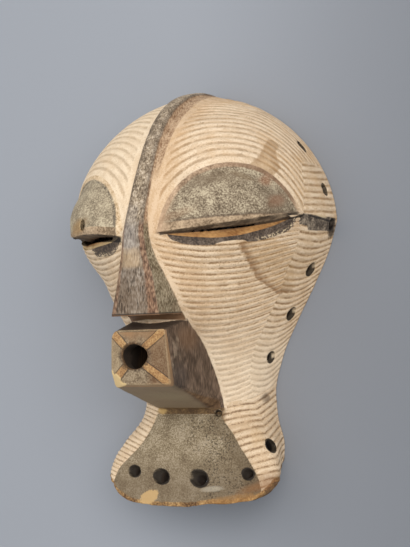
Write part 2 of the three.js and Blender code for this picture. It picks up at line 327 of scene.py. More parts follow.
@dataclass(frozen=True)
class FaceForm:
    """The domed face, from the collar's edge to the crown, with its even hollow."""

    wall: float = 12.0
    flare_power: float = 1.6
    block_bottom: float = -2.0
    block_spacing: float = 1.5
    block_steps: int = 300
    hollow_bottom: float = -6.0
    hollow_spacing: float = 2.5
    hollow_steps: int = 160
    slope_reach: float = 0.5
    half_width: DomedSize = DomedSize(243.0, 116.5, 1.8, Curve((
        (0, 58), (20, 61), (35, 65.5), (50, 66.5), (75, 60.7), (96, 59),
        (127, 66), (158, 80), (189, 96), (220, 110), (243, 116.5),
    )))
    depth: DomedSize = DomedSize(216.0, 145.0, 1.93, Curve((
        (0, 62), (40, 56), (79, 53), (96, 61), (117, 79), (138, 104),
        (154, 130), (170, 143.5), (180, 145), (216, 145),
    )))
    squareness: Curve = Curve((
        (0, 7), (40, 5), (79, 2.6), (96, 2.2), (138, 1.52), (156, 1.42),
        (189, 1.5), (216, 1.9), (273, 2.25), (363, 2.4),
    ))
    flare: Curve = Curve(((0, 0.52), (20, 0.5), (35, 0.38), (50, 0.25), (62, 0.1), (79, 0), (363, 0)))

    def surface_depth(self, x: Array, y: Array) -> Array:
        """Depth of the face above a point of the rim plane, for heights above the neck.

        Args:
            x: Places across the face.
            y: Heights on the face.

        Returns:
            One depth for each place.
        """
        power = self.squareness(y)
        share = np.minimum(1, np.abs(x) / np.maximum(self.half_width(y), TINY))
        return self.depth(y) * (1 - share**power) ** (1 / power)

    def normal(self, x: Array, y: Array) -> Array:
        """Outward unit direction of the face above a point of the rim plane.

        Args:
            x: Places across the face.
            y: Heights on the face.

        Returns:
            One row of three for each place.
        """
        step = self.slope_reach
        across = (self.surface_depth(x + step, y) - self.surface_depth(x - step, y)) / (2 * step)
        along = (self.surface_depth(x, y + step) - self.surface_depth(x, y - step)) / (2 * step)
        direction = np.stack([-across, -along, np.ones_like(across)], axis=-1)
        return direction / np.linalg.norm(direction, axis=-1, keepdims=True)

    def sections(self, heights: Array, steps: int, inset: float) -> Array:
        """Rings of section points from rim to rim, one ring for each height.

        Args:
            heights: Height of each ring.
            steps: Steps around a ring.
            inset: How far inside the outer surface to measure.

        Returns:
            Points of the rings, as an array of rings.
        """
        half_width = np.maximum(0, self.half_width(heights, inset))[:, None]
        depth = np.maximum(0, self.depth(heights, inset))[:, None]
        power = (2 / self.squareness(heights))[:, None]
        turn = np.pi * np.arange(steps + 1) / steps
        across = np.cos(turn)[None, :]
        rise = np.abs(np.sin(turn))[None, :] ** power
        rise[:, [0, -1]] = 0
        flare = 1 + self.flare(heights)[:, None] * rise**self.flare_power
        x = half_width * np.sign(across) * np.abs(across) ** power * flare
        return np.stack([x, np.broadcast_to(heights[:, None], x.shape), depth * rise], axis=-1)

    def section_heights(self, bottom: float, top: float, step: float) -> Array:
        """Heights of the sections, even up to the dome and closing up towards its top.

        Args:
            bottom: Lowest height.
            top: Highest height.
            step: Distance between two even heights.

        Returns:
            The heights from bottom to top.
        """
        dome = self.depth.start
        climb = np.sin(np.linspace(0, np.pi / 2, int((top - dome) / step)))
        return np.concatenate([np.arange(bottom, dome, step), dome + (top - dome) * climb])

    def block(self) -> bpy.types.Object:
        """The block that the face is cut from, with a flat back and bottom."""
        heights = self.section_heights(self.block_bottom, self.depth.end, self.block_spacing)
        return loft("face", self.sections(heights, self.block_steps, 0))

    def hollow(self) -> bpy.types.Object:
        """The hollow behind the face, open at the back and below.

        Returns:
            The cutter.
        """
        top = self.depth.end - self.wall - 0.01
        heights = self.section_heights(self.hollow_bottom, top, self.hollow_spacing)
        rings = self.sections(heights, self.hollow_steps, self.wall)
        ends = rings[:, [0, -1]].copy()
        ends[:, :, 2] = -self.wall
        return loft("hollow", np.concatenate([ends[:, :1], rings, ends[:, 1:]], axis=1))

    def wall_gap(self, points: Array) -> Array:
        """Distance of points from the middle of the wall, positive on the outer half.

        Args:
            points: Places as rows of three.

        Returns:
            One signed distance for each point.
        """
        x, y, z = points.T
        inset = self.wall / 2
        top = self.depth.end - inset - 0.5
        level = np.clip(y, 0, top)
        depth = np.maximum(self.depth(level, inset), 1)
        half_width = np.maximum(self.half_width(level, inset), 1)
        rise = np.clip(z / depth, 0, 1)
        flat_x = np.abs(x) / (1 + self.flare(level) * rise**self.flare_power)
        power = self.squareness(level)
        size = ((flat_x / half_width) ** power + (np.maximum(z, 0) / depth) ** power) ** (1 / power)
        reach = np.hypot(flat_x, z) / np.maximum(size, TINY)
        return np.where(y > top, inset, (size - 1) * reach)


@dataclass(frozen=True)
class Ridge:
    """Crest from the crown down the brow, running on as the nose."""

    face: FaceForm
    nose_tip: float = 153.5
    nose_undercut: float = 0.1
    edge_round: float = 1.0
    front_dome: float = 0.6
    dome_rings: int = 110
    nose_rings: int = 40
    ring_points: int = 13
    sunk_turn: float = -0.1
    edge_power: int = 10
    front: Curve = Curve(((153.7, 150.2), (185, 150.8), (216, 152)))
    rise: Curve = Curve((
        (216, 7), (234, 4.6), (252, 3), (272, 3.4), (300, 5.4), (325, 6.5), (347, 5), (363, 2.5),
    ))
    half_widths: Curve = Curve((
        (153.7, 21.4), (185, 15.5), (209, 10.5), (234, 8.3), (267, 7.3),
        (285, 7), (300, 6.9), (345, 7), (363, 6.6),
    ))
    foot_half_widths: Curve = Curve((
        (153.7, 25.5), (167, 26), (185, 21), (216, 13), (250, 9.5), (300, 11), (363, 10),
    ))
    foot_depths: Curve = Curve((
        (153.7, 42), (167, 32), (185, 20), (216, 14), (250, 9), (300, 14), (363, 9),
    ))
    shift: Curve = Curve((
        (153.7, -0.9), (175, -0.6), (200, -1.5), (225, -2.6), (250, -1.8), (290, -0.5), (363, 0),
    ))

    def _outline(self, y: float) -> tuple[Array, Array]:
        """Places across and depths below the top of one ring, from foot to foot.

        Args:
            y: Height of the ring.

        Returns:
            Both as arrays of equal length.
        """
        share = np.linspace(-1, 1, self.ring_points)
        foot, deep = self.foot_half_widths(y), self.foot_depths(y)
        across = np.concatenate([[-foot], float(self.half_widths(y)) * share, [foot]])
        drop = self.front_dome * share**2 + self.edge_round * np.abs(share) ** self.edge_power
        return across + self.shift(y), np.concatenate([[deep], drop, [deep]])

    def solid(self) -> bpy.types.Object:
        """The crest and nose as one strip, its foot sunk into the face.

        Returns:
            The solid to join.
        """
        dome = self.face.depth
        power = 2 / dome.power
        rings = []
        for turn in np.linspace(self.sunk_turn, np.pi / 2, self.dome_rings)[:-1]:
            y = dome.start + (dome.end - dome.start) * abs(math.cos(turn)) ** power
            z = dome.full * math.copysign(abs(math.sin(turn)) ** power, turn)
            across, sink = self._outline(y)
            out = self.rise(y) - sink
            rings.append(np.stack([across, y + math.cos(turn) * out, z + math.sin(turn) * out], axis=-1))
        for y in np.linspace(dome.start, self.nose_tip, self.nose_rings):
            across, sink = self._outline(y)
            slant = self.nose_undercut if y == self.nose_tip else 0
            rings.append(np.stack([across, y + slant * sink, self.front(y) - sink], axis=-1))
        return loft("ridge", rings)

    def sink(self, points: Array) -> Array:
        """Depth of points below the top line of the crest and nose.

        Args:
            points: Places as rows of three.

        Returns:
            One depth for each point.
        """
        _, y, z = points.T
        dome = self.face.depth
        climb = np.maximum(y - dome.start, 0) / (dome.end - dome.start)
        size = (climb**dome.power + (np.maximum(z, 0) / dome.full) ** dome.power) ** (1 / dome.power)
        reach = np.hypot(climb * (dome.end - dome.start), z)
        dome_sink = self.rise(y) - (size - 1) * reach / np.maximum(size, TINY)
        return np.where(y > dome.start, dome_sink, self.front(y) - z)

    def across(self, points: Array) -> Array:
        """Place across the strip, from -1 at its left edge to 1 at its right edge."""
        x, y, _ = points.T
        return np.clip((x - self.shift(y)) / self.half_widths(y), -3, 3)

    def gap(self, points: Array) -> Array:
        """Distance of points outside the strip's side faces, negative on the strip.

        Args:
            points: Places as rows of three.

        Returns:
            One signed distance for each point.
        """
        x, y, _ = points.T
        half, depth = self.half_widths(y), self.foot_depths(y)
        lean = self.foot_half_widths(y) - half
        aside = np.abs(x - self.shift(y)) - half
        side = (aside * depth - self.sink(points) * lean) / np.hypot(depth, lean)
        return np.maximum(side, self.nose_tip - 1 - y)


@dataclass(frozen=True)
class Eyes:
    """Slanting slits under bulging lids, each bounded above by an arch.

    The near side of the face is on the viewer's right. The far eye has curves of its own.
    """

    face: FaceForm
    inner_x: float = 14.0
    outer_x: float = 107.0
    arch_height: float = 52.5
    arch_inner_power: float = 0.8
    arch_outer_power: float = 0.92
    bulge: float = 9.5
    fullness: float = 0.35
    lip_tuck: float = 2.5
    fade_power: float = 1.35
    root: float = 7.0
    ledge: float = 0.4
    gap: float = 1.3
    far_gap: float = 3.6
    far_arch_extra: float = 2.5
    lid_columns: int = 90
    lid_rows: int = 26
    opening_ends: tuple[float, float] = (19.5, 102)
    opening_columns: int = 60
    least_drop: float = 0.25
    lens_dish: float = 0.5
    lens_dish_growth: float = 0.3
    inward: float = 30.0
    outward: float = 60.0
    downward: float = 25.0
    least_slope: float = 0.2
    sunk_edge: float = 1.0
    lip_heights: Curve = Curve((
        (14, 7.5), (48, 6.8), (60, 6), (73, 4.8), (83, 4.2), (97, 1.6), (107, 0.4),
    ))
    slit: Curve = Curve((
        (14, 218), (33, 219.9), (47, 221.8), (60, 224.4), (72, 227), (84, 230.2), (95, 234.2), (107, 240),
    ))
    lens: Curve = Curve((
        (17, -1), (20, 0.3), (33, 3.6), (47, 6.2), (60, 8), (69, 7.9),
        (78, 6.6), (87, 4.8), (95, 2.2), (100, 0.3), (103, -1),
    ))
    paint: Curve = Curve((
        (22, -1), (25, 5), (29, 7.6), (35, 10.2), (46, 12.4), (60, 13.4),
        (78, 13.9), (90, 12.2), (99, 8.3), (104, -1),
    ))
    far_slit: Curve = Curve((
        (14, 216.5), (25, 218.6), (40, 220.8), (52, 222.4), (65, 223.6), (78, 224.6), (90, 227.5), (107, 235),
    ))
    far_lens: Curve = Curve((
        (17, -1), (20, 0.3), (30, 4.5), (46, 7.4), (60, 8.8), (75, 8.8), (88, 5.5), (100, 0.3), (103, -1),
    ))
    far_paint: Curve = Curve((
        (17, -1), (19.5, 6), (25, 12), (32, 15), (45, 16), (53, 16), (58, 13.5), (63, 6), (80, 4), (95, -1),
    ))

    def slit_height(self, x: Array) -> Array:
        """Height of the slit, which droops a little on the far side of the face."""
        return np.where(x < 0, self.far_slit(-x), self.slit(x))

    def lens_drop(self, x: Array) -> Array:
        """Drop of the bare lens's lower edge below the slit."""
        return np.where(x < 0, self.far_lens(-x), self.lens(x))

    def paint_drop(self, x: Array) -> Array:
        """Drop of the lower edge of the dark painted band below the slit."""
        return np.where(x < 0, self.far_paint(-x), self.paint(x))

    def lid(self, side: int) -> bpy.types.Object:
        """Bulging lid on one side of the face.

        Args:
            side: 1 for the near eye, -1 for the far eye.

        Returns:
            The solid to join.
        """
        middle = (self.inner_x + self.outer_x) / 2
        half_length = (self.outer_x - self.inner_x) / 2
        share = -np.cos(np.pi * np.arange(1, self.lid_columns) / self.lid_columns)[:, None]
        x = middle + half_length * share
        power = np.where(share < 0, self.arch_inner_power, self.arch_outer_power)
        arch = (self.arch_height + (self.far_arch_extra if side < 0 else 0)) * (1 - share**2) ** power
        bulge = self.bulge * (1 - share**2) ** self.fullness
        lip = np.minimum(self.lip_heights(x), arch / 4)
        row = np.linspace(0, 1, self.lid_rows)[None, :]
        climb = np.concatenate([np.zeros_like(x), lip + (arch - lip) * row], axis=1)
        fading = bulge * (1 - row**self.fade_power) - self.sunk_edge
        swell = np.concatenate([bulge - self.lip_tuck, fading], axis=1)
        x = np.broadcast_to(x, climb.shape)
        y = self.slit_height(side * x) + climb
        foot = np.stack([x, y, self.face.surface_depth(x, y)], axis=-1)
        normal = self.face.normal(x, y)
        outer = foot + normal * swell[..., None]
        inner = foot - normal * self.root
        rings = np.concatenate([outer, inner[:, ::-1]], axis=1)
        rings[..., 0] *= side
        return loft("lid", rings)

    def opening(self, side: int) -> bpy.types.Object:
        """The see-through gap under one lid and the hollowed lens below it.

        Args:
            side: 1 for the near eye, -1 for the far eye.

        Returns:
            The cutter.
        """
        start, end = self.opening_ends
        x = np.linspace(start, end, self.opening_columns)
        slit = self.slit_height(side * x)
        drop = np.maximum(self.lens_drop(side * x), self.least_drop)
        edge_y = slit - drop
        edge_z = self.face.surface_depth(x, edge_y)
        depth = 1 / np.maximum(self.face.normal(x, slit)[:, 2], self.least_slope)
        taper = np.sin(np.pi * (x - start) / (end - start))
        gap_y = slit - (self.gap if side > 0 else self.far_gap) * taper
        inside = edge_z - self.inward * depth
        outside = edge_z + self.outward
        outline = [
            (slit + self.ledge, outside),
            (slit + self.ledge, edge_z),
            (slit + self.ledge + taper, inside),
            (gap_y - taper, inside),
            (gap_y, edge_z - (self.lens_dish + self.lens_dish_growth * drop) * depth),
            (edge_y, edge_z),
            (edge_y - self.downward, outside),
        ]
        return loft("opening", np.stack([np.stack([x * side, y, z], axis=-1) for y, z in outline], axis=1))


@dataclass(frozen=True)
class MouthBox:
    """Square mouth with a round bore, wider at its root than at its lips.

    The corners of a section run top right, top left, bottom left, bottom right.
    """

    lips: tuple[Point, ...] = (
        (22.4, 143.3, 143.4), (-25.8, 143.3, 143.4), (-26.8, 100.0, 140.4), (26.2, 100.0, 140.4),
    )
    root: tuple[Point, ...] = ((25.2, 154.4, 106), (-25.7, 154.4, 106), (-31, 79.1, 44), (30.7, 79.1, 44))
    lip_radii: tuple[float, ...] = (2.0, 9.0, 3.0, 2.0)
    root_radii: tuple[float, ...] = (2.5, 4.0, 5.0, 24.0)
    half_height: float = 24.0
    depth: float = 55.0
    hollow_front: tuple[Point, ...] = ((9, 133.5, 127), (-16, 133.5, 127), (-16, 112, 127), (9, 112, 127))
    hollow_back: tuple[Point, ...] = ((19, 142, 55), (-19, 142, 55), (-20, 93, 55), (20, 93, 55))
    section_insets: Outline = ((0, 0.9), (0.02, 0), (0.5, 0), (1.3, 0))
    halvings: int = 18
    arc_points: int = 7
    bore_x: float = -5.8
    bore_y: float = 122.3
    bore_radius: float = 9.7
    bore_oval: float = 1.16
    bore_sides: int = 64
    bore_flares: Outline = ((155, 1.6), (142.5, 0.9), (140, 0.0), (125, -0.3))
    strip_half_width: float = 2.5
    strip_widening: float = 0.8
    chip_place: Point = (-18.5, 106.0, 141.2)
    chip_out: Point = (-0.4, -0.5, 0.77)
    chip_square: Outline = ((-20, -20), (20, -20), (20, 20), (-20, 20))
    chip_reach: float = 30.0

    def _section(self, share: float, inset: float) -> Array:
        """Ring of a section, each corner turned on a small arc.

        Args:
            share: Place of the section, 0 at the lips and 1 at the root.
            inset: How much smaller the section is drawn all round.

        Returns:
            The ring's points.
        """
        corners = np.array(self.lips) * (1 - share) + np.array(self.root) * share
        middle = corners.mean(axis=0)
        corners = middle + (corners - middle) * (1 - inset / self.half_height)
        radii = np.array(self.lip_radii) * (1 - share) + np.array(self.root_radii) * share
        ring = []
        for i, radius in enumerate(radii):
            here, back, on = corners[i], corners[i - 1], corners[(i + 1) % 4]
            start = here + (back - here) / np.linalg.norm(back - here) * radius
            end = here + (on - here) / np.linalg.norm(on - here) * radius
            for t in np.linspace(0, 1, self.arc_points):
                ring.append((1 - t) ** 2 * start + 2 * t * (1 - t) * here + t * t * end)
        return np.array(ring)

    def solid(self) -> bpy.types.Object:
        """The box from its lips to a root sunk into the face."""
        return loft("mouth", [self._section(share, inset) for share, inset in self.section_insets])

    def hollow(self) -> bpy.types.Object:
        """Hollow inside the box, running into the hollow of the face."""
        return loft("mouth_hollow", [self.hollow_front, self.hollow_back])

    def bore(self) -> bpy.types.Object:
        """Round bore from the lips into the hollow, opening out a little at the lips.

        Returns:
            The cutter.
        """
        turn = np.linspace(0, 2 * np.pi, self.bore_sides, endpoint=False)
        wobble = 1 + 0.03 * np.sin(3 * turn + 1) + 0.02 * np.sin(5 * turn)
        rings = []
        for z, flare in self.bore_flares:
            radius = (self.bore_radius + flare) * wobble
            x = self.bore_x + self.bore_oval * radius * np.cos(turn)
            y = self.bore_y + radius * np.sin(turn)
            rings.append(np.stack([x, y, np.full_like(turn, z)], axis=-1))
        return loft("bore", rings)

    def chip(self) -> bpy.types.Object:
        """The broken-off lower left corner of the lips, as a cutter.

        Returns:
            The cutter.
        """
        out = unit(self.chip_out)
        aside = unit(np.cross(out, (0, 0, 1)))
        up = np.cross(out, aside)
        ends = (np.array(self.chip_place), self.chip_place + self.chip_reach * out)
        return loft("chip", [[end + a * aside + b * up for a, b in self.chip_square] for end in ends])

    def places(self, points: Array) -> dict[str, Array]:
        """Distances outside the box, behind the lips, below the top and above the underside.

        Args:
            points: Places as rows of three.

        Returns:
            The four fields by name.
        """
        x, y, z = points.T
        top, bottom = np.array(self.lips)[[0, 3]], np.array(self.root)[[0, 3]]
        low, high = np.full(x.shape, -0.5), np.full(x.shape, 1.6)
        for _ in range(self.halvings):
            share = (low + high) / 2
            top_y, top_z = (top[0][k] + (bottom[0][k] - top[0][k]) * share for k in (1, 2))
            low_y, low_z = (top[1][k] + (bottom[1][k] - top[1][k]) * share for k in (1, 2))
            before = (top_y - low_y) * (z - low_z) > (top_z - low_z) * (y - low_y)
            low, high = np.where(before, low, share), np.where(before, share, high)
        tall = np.hypot(top_y - low_y, top_z - low_z)
        above = ((y - low_y) * (top_y - low_y) + (z - low_z) * (top_z - low_z)) / tall
        sides = np.array(self.lips)[:, 0, None] * (1 - share) + np.array(self.root)[:, 0, None] * share
        climb = above / tall
        right = sides[3] + (sides[0] - sides[3]) * climb
        left = sides[2] + (sides[1] - sides[2]) * climb
        gap = np.max([x - right, left - x, above - tall, -above], axis=0)
        return {"box": gap, "lips": share * self.depth, "roof": tall - above, "soffit": above}

    def strip_gap(self, points: Array) -> Array:
        """Distance from the four bare strips that run from the bore to the corners.

        Args:
            points: Places as rows of three.

        Returns:
            One signed distance for each point.
        """
        x, y = points[:, 0] - self.bore_x, points[:, 1] - self.bore_y
        nearest = np.full(x.shape, np.inf)
        for corner in np.array(self.lips)[:, :2]:
            along = corner - (self.bore_x, self.bore_y)
            length = np.linalg.norm(along)
            along = along / length
            forward = x * along[0] + y * along[1]
            aside = np.abs(x * along[1] - y * along[0])
            half = self.strip_half_width + self.strip_widening * np.clip(forward / length, 0, 1)
            nearest = np.minimum(nearest, np.where(forward > 0, aside - half, np.inf))
        return nearest


@dataclass(frozen=True)
class Hole:
    """One cord hole, worn wider outside than inside."""

    start: Point
    end: Point
    radius: float
    oval: float = 1.0
    turn: float = 0.0
    wide: float = 1.12
    narrow: float = 0.88
    sides: int = 40
    rings: int = 6
    unevenness: float = 0.05
    end_weight: float = 2.0

    def cutter(self) -> bpy.types.Object:
        """The hole's tapering cutter, a little uneven around.

        Returns:
            The cutter.
        """
        start, end = np.array(self.start), np.array(self.end)
        forward = unit(end - start)
        aside = unit(np.cross(forward, [0, 1, 0] if abs(forward[1]) < 0.8 else [1, 0, 0]))
        up = np.cross(aside, forward)
        angle = np.linspace(0, 2 * np.pi, self.sides, endpoint=False)
        waves = np.sin(2 * angle + self.start[1]), np.sin(3 * angle + self.start[0])
        wobble = 1 + self.unevenness * waves[0] + self.unevenness * waves[1]
        u = self.radius * wobble * np.cos(angle)
        v = self.radius * wobble * np.sin(angle) * self.oval
        across = (u * math.cos(self.turn) - v * math.sin(self.turn))[:, None] * aside
        along = (u * math.sin(self.turn) + v * math.cos(self.turn))[:, None] * up
        rings = []
        for share in np.linspace(0, 1, self.rings):
            size = self.wide + (self.narrow - self.wide) * share
            rings.append(start + (end - start) * share + size * (across + along))
        return loft("hole", rings)

    def gap(self, points: Array) -> Array:
        """Distance of points outside the hole, 0 within it.

        Args:
            points: Places as rows of three.

        Returns:
            One distance for each point.
        """
        start, end = np.array(self.start), np.array(self.end)
        forward = unit(end - start)
        away = points - start
        along = away @ forward
        beyond = np.maximum(0, np.maximum(-along, along - np.linalg.norm(end - start)))
        aside = np.linalg.norm(away - along[:, None] * forward, axis=1) - self.radius
        return np.hypot(np.maximum(aside, 0), beyond * self.end_weight)


@dataclass(frozen=True)
class Collar:
    """The flared collar's uneven lower edge and its front panel."""

    corner_rise: float = 22.0
    corner_x: float = 77.0
    corner_power: float = 5.2
    back_rise: float = 28.0
    back_depth: float = 44.0
    back_power: float = 1.5
    worn_rise: float = 3.2
    ragged: float = 0.9
    reach_x: float = 84.0
    columns: int = 140
    below_y: float = -40.0
    back_z: float = -10.0
    front_z: float = 100.0
    panel_top: float = 77.0
    panel_slant: float = 0.8
    panel_right: Curve = Curve((
        (17, 67), (25, 64), (37, 56.6), (50, 47.1), (62, 39), (73, 29.5), (79, 26),
    ))
    panel_left: Curve = Curve(((14, 73), (29, 67.5), (39, 58), (50, 46.8), (63, 38.3), (76, 32.8)))

    def edge_height(self, x: Array, z: Array) -> Array:
        """Height of the collar's lower edge at a place of the collar.

        Args:
            x: Places across the face.
            z: Depths in front of the rim plane.

        Returns:
            One height for each place.
        """
        share = np.minimum(1, np.abs(x) / self.corner_x)
        back = np.maximum(0, 1 - z / self.back_depth)
        worn = self.worn_rise * ease(x, 2, 22) * ease(x, 68, 50)
        return self.corner_rise * share**self.corner_power + self.back_rise * back**self.back_power + worn

    def below_edge(self) -> bpy.types.Object:
        """Everything below the collar's lower edge, as a cutter.

        Returns:
            The cutter.
        """
        chip = Noise(seed=11, size=7)
        rings = []
        z = np.concatenate([[self.back_z], np.linspace(0, 80, 60), [self.front_z]])
        for x in np.linspace(-self.reach_x, self.reach_x, self.columns):
            spots = np.stack([np.full_like(z, x), np.zeros_like(z), z], axis=-1)
            chipped = self.ragged * np.maximum(0, chip(spots))
            top = np.stack([spots[:, 0], self.edge_height(x, np.maximum(z, 0)) + chipped, z], axis=-1)
            foot = [(x, self.below_y, self.front_z), (x, self.below_y, self.back_z)]
            rings.append(np.concatenate([foot, top]))
        return loft("below_edge", rings)

    def panel_gap(self, points: Array) -> Array:
        """Distance of points outside the front panel, negative on it.

        Args:
            points: Places as rows of three.

        Returns:
            One signed distance for each point.
        """
        x, y, _ = points.T
        side = np.where(x > 0, x - self.panel_right(y), -x - self.panel_left(y))
        return np.maximum(side * self.panel_slant, y - self.panel_top)


@dataclass(frozen=True)
class Stripes:
    """The carved grooves as families of curves, counted in stripes from a first ridge."""

    brow_turn: float = 0.473
    brow_offset: float = 24.8
    brow_centre_y: float = 195.9
    brow_tilt: float = -0.202
    brow_inner_ratio: float = 0.959
    brow_outer_ratio: float = 0.69
    arch_level: float = 80.0
    brow_first: float = 83.3
    brow_pitch: float = 6.1
    brow_closing: float = 0.095
    cheek_first: float = 202.7
    cheek_pitch: float = 4.36
    cheek_bend: float = 0.0105
    cheek_bend_growth: float = 89.2
    cheek_low_x: float = 29.1
    cheek_low_shift: float = 13.1
    cheek_rounds: int = 14
    cheek_bend_level: float = 200.0
    cheek_shift_start: float = 110.0
    cheek_shift_span: float = 90.0
    steepest: Curve = Curve(((55, 0.55), (80, 0.62), (100, 0.95), (130, 1.1)))
    band_pitch: Curve = Curve(((150, 4.9), (205, 5.1), (225, 5.8), (300, 5.9)))
    band_bend: Curve = Curve(((100, 0.03), (160, 0.026), (200, 0.019), (220, 0.0107), (240, 0)))
    band_low_z: Curve = Curve(((100, 27), (150, 34), (180, 36), (200, 40), (220, 44)))
    band_tilt: Curve = Curve(((222, 0), (244, 0.14), (300, 0.15)))
    band_front_z: float = 50.0
    count_step: float = 2.0
    count_top: float = 371.0
    collar_pitch: float = 5.5
    far_collar_pitch: float = 3.7
    collar_slope: float = 0.33
    front_slope: float = 1.4
    crease_z: Curve = Curve((
        (39, 43), (56, 38), (72, 30), (96, 34), (122, 40), (160, 42), (188, 45),
        (213, 54), (240, 58), (252, 59), (270, 54), (289, 44), (312, 26),
    ))

    def arch(self, points: Array) -> Array:
        """Level of the curves around one eye, 0 on the arch and growing outward.

        Args:
            points: Places as rows of three.

        Returns:
            One level for each point.
        """
        x, y, z = points.T
        u = math.cos(self.brow_turn) * np.abs(x) - math.sin(self.brow_turn) * z - self.brow_offset
        v = y - self.brow_centre_y - self.brow_tilt * u
        ratio = np.where(u < 0, self.brow_inner_ratio, self.brow_outer_ratio)
        return np.hypot(u / ratio, v) - self.arch_level

    def brow_count(self, points: Array) -> Array:
        """Stripes above the arch, closing up towards the crown.

        Args:
            points: Places as rows of three.

        Returns:
            One count for each point.
        """
        start = self.arch_level - self.brow_first
        span = np.maximum(self.arch(points) + start, -20)
        inside = np.maximum(self.brow_pitch**2 - 4 * self.brow_closing * span, 0.5)
        return (self.brow_pitch - np.sqrt(inside)) / (2 * self.brow_closing)

    def cheek_count(self, points: Array) -> Array:
        """Stripes below the eye, each found by the height where it crosses the cheek's middle line.

        Args:
            points: Places as rows of three.

        Returns:
            One count for each point.
        """
        x, y, _ = points.T
        level = y.copy()
        for _ in range(self.cheek_rounds):
            bend = self.cheek_bend * np.exp((self.cheek_bend_level - level) / self.cheek_bend_growth)
            climb = np.maximum(0, level - self.cheek_shift_start) / self.cheek_shift_span
            away = np.abs(x) - self.cheek_low_x - self.cheek_low_shift * climb**2
            turn = self.steepest(level) / bend
            rise = np.where(away < turn, bend * away**2 / 2, bend * turn * (away - turn / 2))
            level = 0.5 * level + 0.5 * (y - rise)
        return (self.cheek_first - level) / self.cheek_pitch

    def band_count(self, points: Array) -> Array:
        """Stripes of the side band between the crease and the rim.

        Args:
            points: Places as rows of three.

        Returns:
            One count for each point.
        """
        _, y, z = points.T
        bend = 0.5 * self.band_bend(y) * (z - self.band_low_z(y)) ** 2
        level = y - bend - self.band_tilt(y) * (self.band_front_z - z)
        step = self.count_step
        grid = np.arange(0.0, self.count_top, step)
        counted = np.concatenate([[0], np.cumsum(step / self.band_pitch(grid[:-1] + step / 2))])
        return np.interp(level, grid, counted)

    def collar_level(self, points: Array) -> Array:
        """Height that a collar stripe would have where it runs over the crease.

        Args:
            points: Places as rows of three.

        Returns:
            One height for each point.
        """
        x, y, z = points.T
        before = np.maximum(z - self.crease_z(y), 0)
        return y - self.collar_slope * (np.abs(x) - z) - self.collar_slope * self.front_slope * before

    def collar_count(self, points: Array) -> Array:
        """Stripes beside the collar's panel."""
        pitch = np.where(points[:, 0] > 0, self.collar_pitch, self.far_collar_pitch)
        return self.collar_level(points) / pitch

    def crease_gap(self, points: Array) -> Array:
        """Distance of points in front of the crease, negative on the side band."""
        return points[:, 2] - self.crease_z(points[:, 1])


HOLES_ALONG_RIM: Outline = ((307, 21), (268.5, 17), (239, 10), (200, 18), (163, 15), (126, 19))
COLLAR_HOLES: tuple[Hole, ...] = (
    Hole((-60, 34, 69), (-33.5, 18, 34), 4.4, 0.85, 0.9, 1.4, 0.3),
    Hole((-36, 32, 73), (-9, 15, 38), 5.7, 1.05, 0.2, 1.4, 0.3),
    Hole((-1, 31.5, 73), (27, 14, 38), 6.5, 0.88, 0.0, 1.4, 0.3),
    Hole((48, 35.5, 69), (67, 16, 34), 4.1, 0.7, 0.9, 1.4, 0.3),
)
PLAIN_HOLES: tuple[Hole, ...] = (
    Hole((-64, 232, 141), (-56, 231.5, 125), 3.3, 1.25, 0.1),
    Hole((26.5, 78.5, 56), (25.5, 77.5, 47), 1.9, 0.8, 0.3),
    Hole((93, 53, 58), (45, 49, 21), 5.2, 0.9, 0.4),
    Hole((-93, 53, 58), (-45, 49, 21), 5.0, 0.9, -0.4),
)
EYE_PATCH: Outline = (
    (62, 241), (50, 241.5), (35, 242), (21, 243.4), (4, 244.5), (4, 233.5), (12, 232.4),
    (30, 230.5), (48, 228.6), (50, 232), (60, 232),
)
PALE_CHIP: Outline = (
    (54, 210.5), (60, 213), (66, 214.4), (73, 215.2), (75, 213), (66, 210.5), (58, 208.5),
)
BROW_STAIN: Outline = ((80, 284), (81, 304), (87, 300), (89, 288), (94, 276), (90, 268), (76, 274))
CHEEK_STAIN: Outline = ((69, 212), (84, 222), (96, 213), (86, 180), (78, 177), (70, 189))


